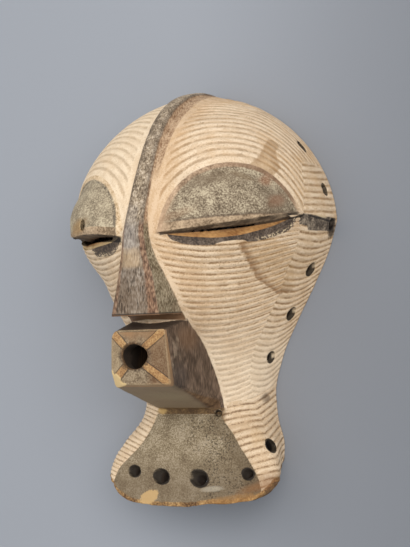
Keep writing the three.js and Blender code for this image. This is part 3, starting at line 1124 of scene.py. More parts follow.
@dataclass
class MaskCarver:
    """Joins the parts of the mask, carves its relief and measures its surface."""

    voxel: float = 0.75
    smoothing: float = 0.5
    smoothing_rounds: int = 2
    triangles: int = 188_000
    brow_groove: float = 0.68
    cheek_groove: float = 0.9
    band_groove: float = 0.8
    side_groove: float = 1.0
    groove_power: float = 1.6
    bevel_depth: float = 1.8
    paint_hollow: float = 1.3
    lip_recess: float = 0.8
    panel_recess: float = 0.7
    hole_wear: float = 0.9
    crown_dip: float = 3.2
    scoop_depth: float = 0.9
    scoop_width: float = 11.0
    scoop_length: float = 24.0
    scoop_turn: float = 70.0
    scoop_drift: float = 3.0
    row_shift: float = 7.0
    neck_level: float = 84.0
    neck_fade: float = 0.6
    upper_level: float = 290.0
    hole_radius: float = 4.5
    hole_outward: float = 30.0
    hole_inward: float = 36.0
    stored_range: tuple[float, float] = (-60, 120)
    far_side_share: float = 0.55
    long_wander: Noise = Noise(3, 34)
    short_wander: Noise = Noise(4, 11)
    crease_wander: Noise = Noise(5, 12)
    neck_wander: Noise = Noise(14, 9)
    groove_wear: Noise = Noise(6, 15)
    tool_marks: Noise = Noise(8, 9)
    fine_marks: Noise = Noise(9, 4)
    gouge_drift: Noise = Noise(12, 25)
    face: FaceForm = field(default_factory=FaceForm)
    mouth: MouthBox = field(default_factory=MouthBox)
    collar: Collar = field(default_factory=Collar)
    stripes: Stripes = field(default_factory=Stripes)

    def __post_init__(self) -> None:
        """Builds the parts that need the face's form."""
        self.ridge = Ridge(self.face)
        self.eyes = Eyes(self.face)
        self.holes = [*COLLAR_HOLES, *self._rim_holes(), *PLAIN_HOLES]

    def _rim_holes(self) -> list[Hole]:
        """Holes across both sides near the rim.

        Returns:
            The holes, near side first in each pair.
        """
        holes = []
        for i, (y, z) in enumerate(HOLES_ALONG_RIM):
            width = float(self.face.half_width(np.float64(y)))
            for side in (1, -1):
                start = (side * (width + self.hole_outward), y + 1.5, z + 1)
                end = (side * (width - self.hole_inward), y - 2.5, z - 1)
                radius = self.hole_radius + 0.4 * math.sin(2.3 * i)
                holes.append(Hole(start, end, radius, 0.9, 0.3 * side))
        return holes

    def rough_form(self) -> bpy.types.Object:
        """The whole mask before its relief, as one closed solid.

        Returns:
            The solid as an object.
        """
        face, eyes, mouth = self.face, self.eyes, self.mouth
        base = face.block()
        for part in (self.ridge.solid(), eyes.lid(1), eyes.lid(-1), mouth.solid()):
            carve(base, part, Carving.JOIN)
        cutters = [face.hollow(), mouth.hollow(), mouth.bore(), mouth.chip()]
        cutters += [eyes.opening(1), eyes.opening(-1), self.collar.below_edge(), self._below_rim()]
        cutters += [hole.cutter() for hole in self.holes]
        for cutter in cutters:
            carve(base, cutter, Carving.CUT)
        return base

    def _below_rim(self) -> bpy.types.Object:
        """Everything behind the flat back, as a cutter."""
        square = ((-200, -50), (200, -50), (200, 420), (-200, 420))
        return loft("below_rim", [[(x, y, z) for x, y in square] for z in (-40, 0)])

    def build(self) -> bpy.types.Object:
        """The finished mesh of the mask, with its relief carved and its surface measured.

        Returns:
            The object, in millimetres.
        """
        mask = self.rough_form()
        remesh = mask.modifiers.new("even", "REMESH")
        remesh.mode = "VOXEL"
        remesh.voxel_size = self.voxel
        smooth = mask.modifiers.new("smooth", "SMOOTH")
        smooth.factor = self.smoothing
        smooth.iterations = self.smoothing_rounds
        apply_modifiers(mask)
        points = rows_of(mask.data.vertices, "co")
        log.info("even mesh has %d points", len(points))
        place_points(mask.data, self.relief(points, rows_of(mask.data.vertex_normals, "vector")))
        mask.data.calc_loop_triangles()
        thin = mask.modifiers.new("thin", "DECIMATE")
        thin.ratio = min(1.0, self.triangles / len(mask.data.loop_triangles))
        thin.use_collapse_triangulate = True
        apply_modifiers(mask)
        self.measure(mask.data)
        return mask

    def fields(self, points: Array) -> dict[str, Array]:
        """Distances and stripe counts that tell the regions of the surface apart.

        Args:
            points: Places as rows of three.

        Returns:
            One array for each field, by name.
        """
        x, y, z = points.T
        eyes, stripes = self.eyes, self.stripes
        slit = eyes.slit_height(x)
        wander = 0.10 * self.long_wander(points) + 0.05 * self.short_wander(points)
        right = np.where(x > 0, x, -1000)
        return {
            "arch": stripes.arch(points),
            "slit": slit - y,
            "lip": y - slit - eyes.lip_heights(np.abs(x)),
            "lens": slit - y - eyes.lens_drop(x),
            "painted": slit - y - eyes.paint_drop(x),
            "ridge": self.ridge.gap(points),
            "sink": self.ridge.sink(points),
            "across": self.ridge.across(points),
            **self.mouth.places(points),
            "strips": self.mouth.strip_gap(points),
            "panel": self.collar.panel_gap(points),
            "edge": y - self.collar.edge_height(x, z),
            "hole": np.min([hole.gap(points) for hole in self.holes], axis=0),
            "wall": self.face.wall_gap(points),
            "patch": polygon_gap(z, y, EYE_PATCH),
            "chip": polygon_gap(right, y, PALE_CHIP),
            "stain": np.minimum(polygon_gap(right, y, BROW_STAIN), polygon_gap(right, y, CHEEK_STAIN)),
            "brow": stripes.brow_count(points) + wander,
            "cheek": stripes.cheek_count(points) + wander,
            "band": stripes.band_count(points) + 1.3 * wander,
            "side": stripes.collar_count(points) + wander,
            "crossing": stripes.crease_gap(points) + 1.5 * self.crease_wander(points),
            "neck": stripes.collar_level(points) + 1.2 * self.neck_wander(points),
        }

    def relief(self, points: Array, normals: Array) -> Array:
        """Points moved inward by everything carved into the surface.

        Args:
            points: Places as rows of three.
            normals: Outward directions at the points.

        Returns:
            The new places.
        """
        x, y, z = points.T
        f = SimpleNamespace(**self.fields(points))
        outside = ease(f.wall, 0, 3)
        above = ease(f.slit, 0, -3)
        plain_edge = 1.2 + above * (3.8 + 2.5 * ease(x, 0, 4))
        low_neck = ease(f.neck, self.neck_level + self.neck_fade, self.neck_level)
        beside_box = np.maximum(ease(f.box, 1.2, 3.5), low_neck * ease(y, 81, 79))
        away = ease(f.ridge, plain_edge, plain_edge + 2.5) * beside_box
        away *= ease(f.hole, 0.5, 3) * ease(z, 1, 4) * outside
        face_side = ease(f.crossing, -0.6, 0.6)
        upper = ease(y, self.upper_level - 1, self.upper_level + 1)
        in_brow = above * ease(f.arch, 0.5, 2.0) * np.maximum(face_side, upper)
        in_cheek = (1 - above) * ease(f.painted, 0, 1.5) * face_side * (1 - low_neck)
        in_band = (1 - face_side) * (1 - upper) * (1 - low_neck) * ease(f.patch, 0, 2)
        in_side = low_neck * ease(f.panel, 1.5, 3.5) * np.where(x > 0, 1, self.far_side_share)
        depth = 0
        for count, share, groove in (
            (f.brow, in_brow, self.brow_groove),
            (f.cheek, in_cheek, self.cheek_groove),
            (f.band, in_band, self.band_groove),
            (f.side, in_side, self.side_groove),
        ):
            ridge = 0.5 + 0.5 * np.cos(2 * np.pi * count)
            depth = depth + share * groove * (1 - ridge) ** self.groove_power
        tooled = 0.22 * self.tool_marks(points) + 0.1 * self.fine_marks(points)
        plain = 1 - away * np.clip(in_brow + in_cheek + in_band + in_side, 0, 1)
        bevel = ease(f.arch, 0.3, -6) * ease(f.arch, -28, -8) * above
        under = ease(f.painted, 0.3, -5) * ease(f.slit, 0.5, 2) * (np.abs(x) > 16)
        on_lips = ease(f.lips, 1.5, 0.5) * ease(f.box, -0.6, -2.2)
        rim_of_panel = between(np.abs(f.panel), 0, 0.8, 0.8) * (y < 82) * (z > 12)
        crown = ease(y, 312, 338) * ease(z, 8, 30) * between(x, 22, 48, 18)
        cut = away * depth * (1 + 0.35 * self.groove_wear(points))
        cut = cut + self.bevel_depth * bevel * outside * ease(f.ridge, 0, 3)
        cut = cut + self.paint_hollow * under * outside
        cut = cut + self.lip_recess * on_lips * ease(f.strips, -0.5, 0.6)
        cut = cut + self.panel_recess * rim_of_panel * outside
        cut = cut + self.hole_wear * ease(f.hole, 3.5, 0) * outside
        cut = cut + self.crown_dip * crown * outside * ease(f.ridge, 2, 8)
        cut = cut + np.maximum(0, 0.1 + tooled) * plain * outside * ease(z, 0.5, 3)
        cut = cut + self._gouge_marks(points) * ease(f.wall, -1, -4) * ease(z, 2, 8)
        return points - normals * cut[:, None]

    def _gouge_marks(self, points: Array) -> Array:
        """Depth of the shallow scoops that the hollow is dressed with.

        Args:
            points: Places as rows of three.

        Returns:
            One depth for each point.
        """
        x, y, z = points.T
        drift = self.scoop_drift * self.gouge_drift(points)
        row = (np.arctan2(z, x) * self.scoop_turn + drift) / self.scoop_width
        along = (y + self.row_shift * np.floor(row + 0.5) + drift) / self.scoop_length
        scoop = np.abs(np.cos(np.pi * row)) * (0.6 + 0.4 * np.abs(np.cos(np.pi * along)))
        return self.scoop_depth * scoop

    def measure(self, mesh: bpy.types.Mesh) -> None:
        """Stores the surface's distances and stripe counts on the mesh's points.

        Args:
            mesh: The mask's finished mesh.
        """
        for name, values in self.fields(rows_of(mesh.vertices, "co")).items():
            attribute = mesh.attributes.new(name, "FLOAT", "POINT")
            attribute.data.foreach_set("value", np.clip(values, *self.stored_range).astype(np.float32))


def linear(code: str) -> tuple[float, ...]:
    """Linear colour of a six-digit screen colour code."""
    parts = [int(code[i : i + 2], 16) / 255 for i in (0, 2, 4)]
    return (*(p / 12.92 if p <= 0.04045 else ((p + 0.055) / 1.055) ** 2.4 for p in parts), 1.0)


class Graph:
    """Node tree of one new material."""

    def __init__(self, name: str) -> None:
        """Starts a material with an empty tree and its places as values.

        Args:
            name: Name of the material.
        """
        self.material = bpy.data.materials.new(name)
        self.material.use_nodes = True
        self.tree = self.material.node_tree
        self.tree.nodes.clear()
        self.place = self.node("ShaderNodeTexCoord").outputs["Object"]
        where = self.node("ShaderNodeSeparateXYZ", None, {0: self.place})
        self.x, self.y, self.z = (Value(self, where.outputs[axis]) for axis in "XYZ")

    def node(self, kind: str, settings: dict | None = None, inputs: dict | None = None) -> bpy.types.Node:
        """Adds one node.

        Args:
            kind: Node type.
            settings: Node properties, set first.
            inputs: Values or links of its sockets, by name or number.

        Returns:
            The new node.
        """
        made = self.tree.nodes.new(kind)
        for name, setting in (settings or {}).items():
            setattr(made, name, setting)
        for name, given in (inputs or {}).items():
            source = given.socket if isinstance(given, Value) else given
            if isinstance(source, bpy.types.NodeSocket):
                self.tree.links.new(source, made.inputs[name])
            else:
                made.inputs[name].default_value = source
        return made

    def noise(self, size: float, detail: float = 2.0, stretch: Point = (1, 1, 1)) -> "Value":
        """Cloudy field between 0 and 1 whose spots are about size millimetres.

        Args:
            size: Size of a spot in millimetres.
            detail: How many finer layers the noise has.
            stretch: How much longer a spot is along X, Y and Z.

        Returns:
            The field.
        """
        scale = tuple(1 / (size * MILLIMETRE * s) for s in stretch)
        parts = {0: self.place, 1: scale}
        return self._cloud("ShaderNodeVectorMath", {"operation": "MULTIPLY"}, parts, detail)

    def streaks(self, counts: "Value", length: float) -> "Value":
        """Field between 0 and 1 in streaks along the stripes that counts numbers.

        Args:
            counts: Stripe count, whole numbers on the ridges.
            length: Length of a streak in millimetres.

        Returns:
            The field.
        """
        scale = 1 / (length * MILLIMETRE)
        parts = {"X": self.x * scale, "Y": counts * 1.3, "Z": self.z * scale}
        return self._cloud("ShaderNodeCombineXYZ", None, parts, 2.0)

    def _cloud(self, kind: str, settings: dict | None, inputs: dict, detail: float) -> "Value":
        """Noise at the places that a node of the given kind, settings and inputs works out.

        Args:
            kind: Node type.
            settings: Node properties.
            inputs: Values or links of the node's sockets.
            detail: How many finer layers the noise has.

        Returns:
            The noise.
        """
        place = self.node(kind, settings, inputs).outputs[0]
        made = self.node("ShaderNodeTexNoise", None, {"Vector": place, "Scale": 1.0, "Detail": detail})
        return Value(self, made.outputs["Fac"])

    def blend(self, share: Any, first: Any, second: Any) -> bpy.types.NodeSocket:
        """Colour that goes from the first to the second as share goes from 0 to 1."""
        settings = {"data_type": "RGBA", "blend_type": "MIX"}
        return self.node("ShaderNodeMix", settings, {0: share, 6: first, 7: second}).outputs[2]

    def finish(self, inputs: dict) -> bpy.types.Material:
        """The material, closed with a shader that has the given inputs.

        Args:
            inputs: Values or links of the shader's sockets.

        Returns:
            The finished material.
        """
        shader = self.node("ShaderNodeBsdfPrincipled", None, inputs)
        self.node("ShaderNodeOutputMaterial", None, {"Surface": shader.outputs["BSDF"]})
        return self.material


def maths(operation: str, swapped: bool = False) -> Callable[..., "Value"]:
    """Method of Value that puts it, and another value where one is given, through a Math node.

    Args:
        operation: Name of the node's operation.
        swapped: Whether the other value comes first.

    Returns:
        The method.
    """

    def method(self: "Value", *other: Any) -> "Value":
        """Result of the Math node.

        Args:
            *other: The other value, if there is one.

        Returns:
            The node's output.
        """
        parts = (*other, self) if swapped else (self, *other)
        made = self.graph.node("ShaderNodeMath", {"operation": operation}, dict(enumerate(parts)))
        return Value(self.graph, made.outputs[0])

    return method


class Value:
    """A number that varies over the surface, for use in arithmetic."""

    __add__ = __radd__ = maths("ADD")
    __mul__ = __rmul__ = maths("MULTIPLY")
    __sub__ = maths("SUBTRACT")
    __rsub__ = maths("SUBTRACT", swapped=True)
    at_least = maths("MAXIMUM")
    cosine = maths("COSINE")
    size = maths("ABSOLUTE")

    def __init__(self, graph: Graph, socket: bpy.types.NodeSocket) -> None:
        """Wraps an output socket of a graph."""
        self.graph = graph
        self.socket = socket

    def step(self, start: float, end: float) -> "Value":
        """Eases from 0 at start to 1 at end.

        Args:
            start: Value that gives 0.
            end: Value that gives 1.

        Returns:
            The eased value.
        """
        inputs = {"Value": self, "From Min": start, "From Max": end}
        made = self.graph.node("ShaderNodeMapRange", {"interpolation_type": "SMOOTHSTEP"}, inputs)
        return Value(self.graph, made.outputs["Result"])

    def within(self, low: float, high: float, soft: float) -> "Value":
        """One between low and high, easing to 0 over a soft width outside them."""
        return self.step(low - soft, low) * self.step(high + soft, high)


class Surface:
    """Values over the mask's surface: places in millimetres, raggedness and the mesh's own fields."""

    def __init__(self, graph: Graph) -> None:
        """Works out the places and the noise that makes edges ragged.

        Args:
            graph: Node tree to build in.
        """
        self.graph = graph
        self.x = graph.x * (1 / MILLIMETRE)
        self.y = graph.y * (1 / MILLIMETRE) + TOTAL_LENGTH / 2
        self.z = graph.z * (1 / MILLIMETRE)
        self.grit = (graph.noise(1.6, 2.0) - 0.5) * 1.6
        self.ragged = (graph.noise(5.0, 3.0) - 0.5) * 2.4 + self.grit * 0.5

    def __getattr__(self, name: str) -> Value:
        """A field stored on the mesh, read by one node however often it is used.

        Args:
            name: Name of the field.

        Returns:
            The field.
        """
        made = self.graph.node("ShaderNodeAttribute", {"attribute_name": name})
        setattr(self, name, Value(self.graph, made.outputs["Fac"]))
        return self.__dict__[name]


@dataclass
class Layer:
    """Colour and roughness of the finishes laid so far."""

    graph: Graph
    colour: Any
    roughness: Any

    def lay(self, above: "Layer", share: Value) -> None:
        """Lays another layer over this one where share is 1."""
        self.colour = self.graph.blend(share, self.colour, above.colour)
        self.roughness = above.roughness * share + (1 - share) * self.roughness

    def cover(self, wood: "Wood", share: Value) -> None:
        """Lays a finish over this layer where share is 1."""
        self.lay(wood.layer(self.graph), share)

    def tint(self, code: str, share: Value) -> None:
        """Stains this layer with a colour where share is 1."""
        self.colour = self.graph.blend(share, self.colour, linear(code))


@dataclass(frozen=True)
class Wood:
    """Handled or painted wood in three tones, speckled with the wood's pores."""

    dark: str
    middle: str
    light: str
    fleck_size: float = 1.6
    grain_stretch: Point = (1, 1, 1)
    cloud_size: float = 16.0
    roughness: float = 0.7
    cloud_share: float = 0.5

    def layer(self, graph: Graph) -> Layer:
        """The finish as a layer.

        Args:
            graph: Node tree to build in.

        Returns:
            The finished layer.
        """
        fleck = graph.noise(self.fleck_size, 1.0, self.grain_stretch)
        cloud = graph.noise(self.cloud_size, 2.0)
        tone = fleck * (1 - self.cloud_share) + cloud * self.cloud_share
        colour = graph.blend(tone.step(0.36, 0.51), linear(self.dark), linear(self.middle))
        colour = graph.blend(tone.step(0.49, 0.64), colour, linear(self.light))
        return Layer(graph, colour, fleck.step(0.0, 1.0) * 0.2 + (self.roughness - 0.1))


@dataclass(frozen=True)
class StripedPaint:
    """Pale paint on the carved ridges, tan where it has worn off the grooves, with dirt and painted shade
    darkening the groove bottoms.
    """

    ridge: str = "dac2a4"
    worn_ridge: str = "c5a988"
    groove: str = "a58765"
    crevice: str = "6f543a"
    roughness: float = 0.85

    def layer(self, graph: Graph, counts: Value, plain: Value, depth: Value) -> Layer:
        """The finish as a layer.

        Args:
            graph: Node tree to build in.
            counts: Stripe count, whole numbers on the ridges.
            plain: One where the surface carries no stripes.
            depth: How much dirt and painted shade darken the bottoms of the grooves, from 0 to 1.

        Returns:
            The finished layer.
        """
        wave = ((counts * (2 * math.pi)).cosine() * 0.5 + 0.5).at_least(plain)
        grit = graph.noise(1.5, 2.0) - 0.5
        patch = graph.noise(7.0, 3.0) - 0.5
        along = graph.streaks(counts, 9.0) - 0.5
        covered = (wave + grit * 1.3 + patch * 0.9 + along * 1.3).step(-0.15, 0.6)
        worn = (graph.noise(14.0, 3.0) * 0.5 + along * 0.7 + grit * 0.8 + 0.25).step(0.36, 0.68)
        ridge = graph.blend(worn, linear(self.ridge), linear(self.worn_ridge))
        colour = graph.blend(covered, linear(self.groove), ridge)
        layer = Layer(graph, colour, covered * 0.05 + self.roughness)
        # Dirt and painted shade darken the bottoms of the grooves
        layer.tint(self.crevice, (wave + grit + along * 0.9).step(0.16, -0.08) * depth)
        speck = graph.noise(1.2, 1.0).step(0.38, 0.3) * graph.noise(10.0, 2.0).step(0.45, 0.6)
        layer.tint(self.crevice, speck * 0.6)
        return layer


@dataclass(frozen=True)
class Spot:
    """A stain, a chip, a worn place or a patch of painted shade, oval and ragged at its edge."""

    place: Point
    reach: Point
    colour: str
    strength: float = 0.6
    turn: float = 0.0
    soft: float = 0.4

    def mark(self, layer: Layer, grit: Value) -> None:
        """Puts the spot on a layer.

        Args:
            layer: Layer that is marked.
            grit: Raggedness of the spot's edge.
        """
        x, y, z = self.place
        inputs = {
            "Vector": layer.graph.place,
            "Location": tuple(part * MILLIMETRE for part in (x, y - TOTAL_LENGTH / 2, z)),
            "Rotation": (0.0, 0.0, self.turn),
            "Scale": tuple(part * MILLIMETRE for part in self.reach),
        }
        local = layer.graph.node("ShaderNodeMapping", {"vector_type": "TEXTURE"}, inputs).outputs[0]
        away = layer.graph.node("ShaderNodeVectorMath", {"operation": "LENGTH"}, {0: local}).outputs["Value"]
        share = (Value(layer.graph, away) + grit).step(1 + self.soft, 1 - self.soft)
        layer.tint(self.colour, share * self.strength)


class Tint(StrEnum):
    """Colours that stain, shade or pale a finish."""

    STAIN = "a07843"
    TIDE_LINE = "74502f"
    # Near black for charred holes and for painted shade in the eye slits and holes
    BURNT = "1a130e"
    # Painted shade inside the mouth bore
    SOOTY_BORE = "2b241e"
    PALE_WOOD = "d9c19c"
    BESIDE_NOSE = "bd9871"
    BRIGHT_BROW = "efe0ca"
    WARM_BROW = "bd935f"
    FAR_PAINT = "eadabf"
    PALE_CHEEK = "eddcc2"
    WORN_CHEEK = "a98862"
    BAND_SHADE = "6b4f38"
    FAR_LID = "cdbfa0"
    LID_SEAM = "4a4036"
    LIP_LINE = "4f3f31"
    INNER_CORNER = "b99b7d"
    LENS_SHADE = "6f4a28"
    FAR_LENS = "c9b184"
    NOSE_SHADE = "6a543e"
    NOSE_RUB = "b39876"
    # Grey-blue bloom, partly a painted sheen
    NOSE_BLOOM = "a8a29c"
    CRACK = "2e241b"
    # Painted shade on the ridge's corners
    RIDGE_CORNER = "44352a"
    NOSE_UNDERSIDE = "6f5138"
    # Painted shadow line under the nose
    NOSE_LINE = "241c16"
    SOFFIT = "84725a"
    # Dark top of the mouth box, partly painted shadow
    BOX_ROOF = "3f342b"
    # Painted highlight on the box's bevel
    BOX_BEVEL = "a07b55"
    LIPS_RIGHT = "6b4829"
    LIPS_LEFT = "b09a78"
    STRIP_LINE = "3f3024"
    BOX_EDGE = "a88f6c"
    MOUTH_CHIP = "c9ad7c"
    # Painted shadow on the strip above the collar panel
    COLLAR_STRIP = "44331f"
    LOW_PANEL = "5f4e3b"
    PANEL_BELT = "55442f"
    PANEL_PIT = "2c231a"


@dataclass(frozen=True)
class MaskFinish:
    """The mask's whole surface: stripes, dark parts, bare wood, stains, wear, painted shade and painted
    highlights.
    """

    stripes: StripedPaint = StripedPaint()
    lid: Wood = Wood("5c4e3c", "8a7a64", "b4a58a", 1.4, (1, 1, 1), 10.0, 0.75, 0.4)
    brow_band: Wood = Wood("775e47", "9c8167", "bda083", 1.4, (1, 1, 1), 8.0)
    far_band: Wood = Wood("a88b66", "cdb28f", "dcc5a3", 1.6, (1, 1, 1), 7.0)
    lip_strip: Wood = Wood("6b563e", "a1886c", "bfa585", 1.8)
    side_patch: Wood = Wood("2e2722", "584d43", "91826f", 1.8, (1, 1, 1), 7.0, 0.75, 0.5)
    bare: Wood = Wood("86592f", "a37645", "b98b56", 1.8, (4, 1, 1), 16.0, 0.65, 0.65)
    charcoal: Wood = Wood("362e28", "524438", "6a5c50", 1.5, (1, 1, 1), 6.0, 0.75, 0.5)
    crest: Wood = Wood("655643", "9a876f", "c2b099", 1.2, (1, 2, 1), 9.0, 0.65, 0.35)
    nose: Wood = Wood("55483b", "827465", "a59889", 1.2, (1, 3, 1), 12.0, 0.65, 0.4)
    crest_side: Wood = Wood("7c5d42", "a08265", "bfa283", 1.3, (1, 2, 1), 9.0, 0.7, 0.35)
    nose_side: Wood = Wood("564733", "7f7058", "9b8c73", 1.3, (1, 2, 1), 12.0, 0.65, 0.35)
    red_edge: Wood = Wood("4c321f", "7f5b43", "a98667", 1.2, (1, 3, 1), 6.0, 0.7, 0.35)
    mouth_side: Wood = Wood("3c2d21", "5c4939", "7b6553", 0.9, (1, 8, 1), 10.0, 0.6, 0.4)
    mouth_front: Wood = Wood("584635", "77654e", "917f66", 1.2, (1, 1, 1), 9.0, 0.7, 0.4)
    strip: Wood = Wood("85603a", "9f784d", "b5905f", 1.2, (1, 1, 1), 6.0, 0.7, 0.4)
    panel: Wood = Wood("695944", "89795f", "a5957d", 1.2, (1, 1, 1), 14.0, 0.75, 0.38)
    edge: Wood = Wood("52371f", "866640", "b08c5c", 1.5, (1, 1, 1), 8.0, 0.7, 0.5)
    hollow: Wood = Wood("3a2819", "5e4630", "7c6044", 3.0, (1, 7, 1), 30.0, 0.8)
    chip_place: Point = MouthBox.chip_place
    chip_out: Point = MouthBox.chip_out
    gloss: float = 0.25
    grain_strength: float = 0.45
    grain_depth: float = 0.0004

    def material(self) -> bpy.types.Material:
        """The mask's material, reading the fields stored on its mesh.

        Returns:
            The finished material.
        """
        graph = Graph("carved_wood")
        f = Surface(graph)
        paint = self._striped(graph, f)
        for dress in (self._stained, self._eyes, self._ridge, self._mouth, self._collar):
            dress(f, paint)
        for spot in SPOTS:
            spot.mark(paint, f.grit * 0.25 + f.ragged * 0.2)
        self._holes_and_hollow(f, paint)
        grain = graph.noise(1.1, 3.0, (1, 4, 1)) * 0.4 + graph.noise(1.3, 3.0) * 0.6
        depth = {"Strength": self.grain_strength, "Distance": self.grain_depth, "Height": grain}
        bump = graph.node("ShaderNodeBump", None, depth)
        return graph.finish({
            "Base Color": paint.colour,
            "Roughness": paint.roughness,
            "Normal": bump.outputs["Normal"],
            "Specular IOR Level": self.gloss,
        })

    def _striped(self, graph: Graph, f: Surface) -> Layer:
        """Striped paint of the brow, cheeks, side bands and collar sides.

        Args:
            graph: Node tree to build in.
            f: Values over the mask's surface.

        Returns:
            The first layer of paint.
        """
        below = f.slit.step(-0.4, 0.4)
        behind = f.crossing.step(0.3, -0.3) * f.y.step(291, 289)
        low = f.neck.step(84.5, 84.1)
        counts = f.brow * (1 - below) + f.cheek * below
        counts = counts * (1 - behind) + f.band * behind
        counts = counts * (1 - low) + f.side * low
        right = f.x.step(0, 4)
        by_ridge = (f.ridge - (1 - below) * (right * 2.5 + 3.5)).step(3.5, 1.5)
        by_box = f.box.step(3.0, 1.5) * (1 - low * f.y.step(81, 79))
        corner = f.arch.step(3.5, 1.5) * f.slit.step(3.0, 0.0)
        plain = by_ridge.at_least(by_box).at_least(corner)
        # The last argument sets how much dirt and painted shade darken the groove bottoms, more on the cheeks
        # and the collar
        paint = self.stripes.layer(graph, counts, plain, below * 0.37 + 0.15 + low * 0.18)
        beside = (f.ridge + f.ragged).step(24, 7) * right
        paint.tint(Tint.BESIDE_NOSE, beside * (0.4 - below * 0.18))
        upper_right = (1 - below) * (f.x + f.ragged * 3).step(22, 40)
        paint.tint(Tint.BRIGHT_BROW, upper_right * f.x.step(100, 85) * 0.12)
        paint.tint(Tint.WARM_BROW, graph.noise(24, 3.0).step(0.5, 0.66) * (1 - below) * 0.22)
        paint.tint(Tint.FAR_PAINT, f.x.step(2, -12) * (1 - below * 0.5) * 0.3)
        paler = (f.y + f.ragged * 2).step(165, 120) * right * (1 - low * 0.8)
        paint.tint(Tint.PALE_CHEEK, paler * 0.33)
        paint.tint(Tint.WORN_CHEEK, below * graph.noise(30.0, 2.0).step(0.4, 0.7) * 0.2)
        return paint

    def _stained(self, f: Surface, paint: Layer) -> None:
        """Ochre stains with a darker tide line, and a dark patch on each side band.

        Args:
            f: Values over the mask's surface.
            paint: Layer that is painted on.
        """
        gap = f.stain + f.ragged * 1.8
        inside = gap.step(0.8, -0.8)
        on_brow = f.y.step(240, 250)
        edge = (f.x + f.y * 0.35).step(154, 144).at_least(on_brow * 0.45)
        paint.tint(Tint.STAIN, inside * (0.25 + on_brow * 0.13))
        paint.tint(Tint.TIDE_LINE, inside * gap.step(-7.0, -0.5) * edge * 0.65)
        dark = (f.patch + f.ragged * 0.5).step(0.5, -0.5) * f.z.step(2, 6)
        paint.cover(self.side_patch, dark * 0.95)

    def _eyes(self, f: Surface, paint: Layer) -> None:
        """Lid, bevelled brow band, lip, bare lens and the dark band below it, with painted shade along the
        slit.

        Args:
            f: Values over the mask's surface.
            paint: Layer that is painted on.
        """
        near = f.x.step(-3, 3)
        above = f.slit.step(0.6, -0.6)
        open_brow = above * f.ridge.step(0.5, 2.0) * (f.z + f.ragged * 2).step(64, 72)
        in_arch = (f.arch + f.ragged * 0.35).step(0.4, -0.4) * open_brow
        paint.cover(self.brow_band, in_arch * near)
        paint.cover(self.far_band, in_arch * (1 - near))
        paint.tint(Tint.BAND_SHADE, in_arch * f.x.step(40, 80) * 0.6)
        on_lid = (f.arch + f.ragged * 0.8).step(-2.8, -4.4) * open_brow
        paint.cover(self.lid, on_lid)
        paint.tint(Tint.FAR_LID, on_lid * (1 - near) * 0.15)
        seam = (f.arch + f.ragged * 1.4).within(-5.0, -4.0, 0.8) * open_brow * (1 - near)
        paint.tint(Tint.LID_SEAM, seam * paint.graph.noise(5, 2.0).step(0.4, 0.6) * 0.75)
        paint.cover(self.lip_strip, (f.lip + f.ragged * 0.5).step(0.3, -0.3) * on_lid * 0.9)
        line = (f.lip + f.ragged * 0.8).within(-0.3, 0.9, 0.8) * on_lid * near
        paint.tint(Tint.LIP_LINE, line * 0.6 * f.x.size().step(26, 40))
        corner = (f.x + f.ragged * 2 - f.arch * 0.2).step(33, 18) * open_brow
        paint.tint(Tint.INNER_CORNER, corner * f.arch.step(0.5, -0.5) * f.x.step(0, 5) * 0.6)
        below = (1 - above) * f.ridge.step(0.0, 1.5)
        dark = (f.painted + f.ragged * 0.45).step(0.3, -0.5) * below
        dark = dark * (f.chip + f.ragged * 0.3).step(-0.4, 0.4)
        paint.cover(self.charcoal, dark)
        flaked = dark * (f.painted + f.ragged * 1.2).step(-4.0, -1.5) * f.grit.step(-0.05, 0.25)
        paint.tint(Tint.PALE_WOOD, flaked * f.x.step(74, 86).at_least(1 - near) * 0.8)
        bare = (f.lens + f.ragged * 0.12).step(0.25, -0.25) * below
        paint.cover(self.bare, bare)
        paint.tint(Tint.LENS_SHADE, bare * f.lens.step(-3.5, -7.0) * 0.5)
        paint.tint(Tint.FAR_LENS, bare * (1 - near) * (f.lens + f.ragged * 0.4).step(-4.5, -1.5) * 0.7)
        # Painted shade: a near-black line along each slit, and on the far side the surfaces just below the
        # slit painted near black
        line = (f.slit + f.ragged * 0.15).within(-0.3, 1.0, 0.5)
        far_slit_shade = (f.slit + f.ragged * 0.3).within(-0.3, 3.6, 0.8) * (1 - near)
        paint.tint(Tint.BURNT, line.at_least(far_slit_shade) * f.x.size().within(18, 105, 2) * 0.85)

    def _ridge(self, f: Surface, paint: Layer) -> None:
        """Grey-brown front of the crest and nose, reddish edge strip and paler sides, with a painted sheen,
        painted shade along the corners and a painted shadow line under the nose.

        Args:
            f: Values over the mask's surface.
            paint: Layer that is painted on.
        """
        graph = paint.graph
        on_nose = (f.y + f.ragged * 4).step(232, 222)
        low_nose = (f.y + f.ragged).step(200, 170)
        front = self.crest.layer(graph)
        front.cover(self.nose, on_nose)
        front.tint(Tint.NOSE_SHADE, low_nose * 0.45)
        rubbed = (f.y + f.ragged * 1.5).within(194, 204, 5) * (f.across + f.ragged * 0.15).step(0.8, 0.2)
        front.tint(Tint.NOSE_RUB, rubbed * 0.65)
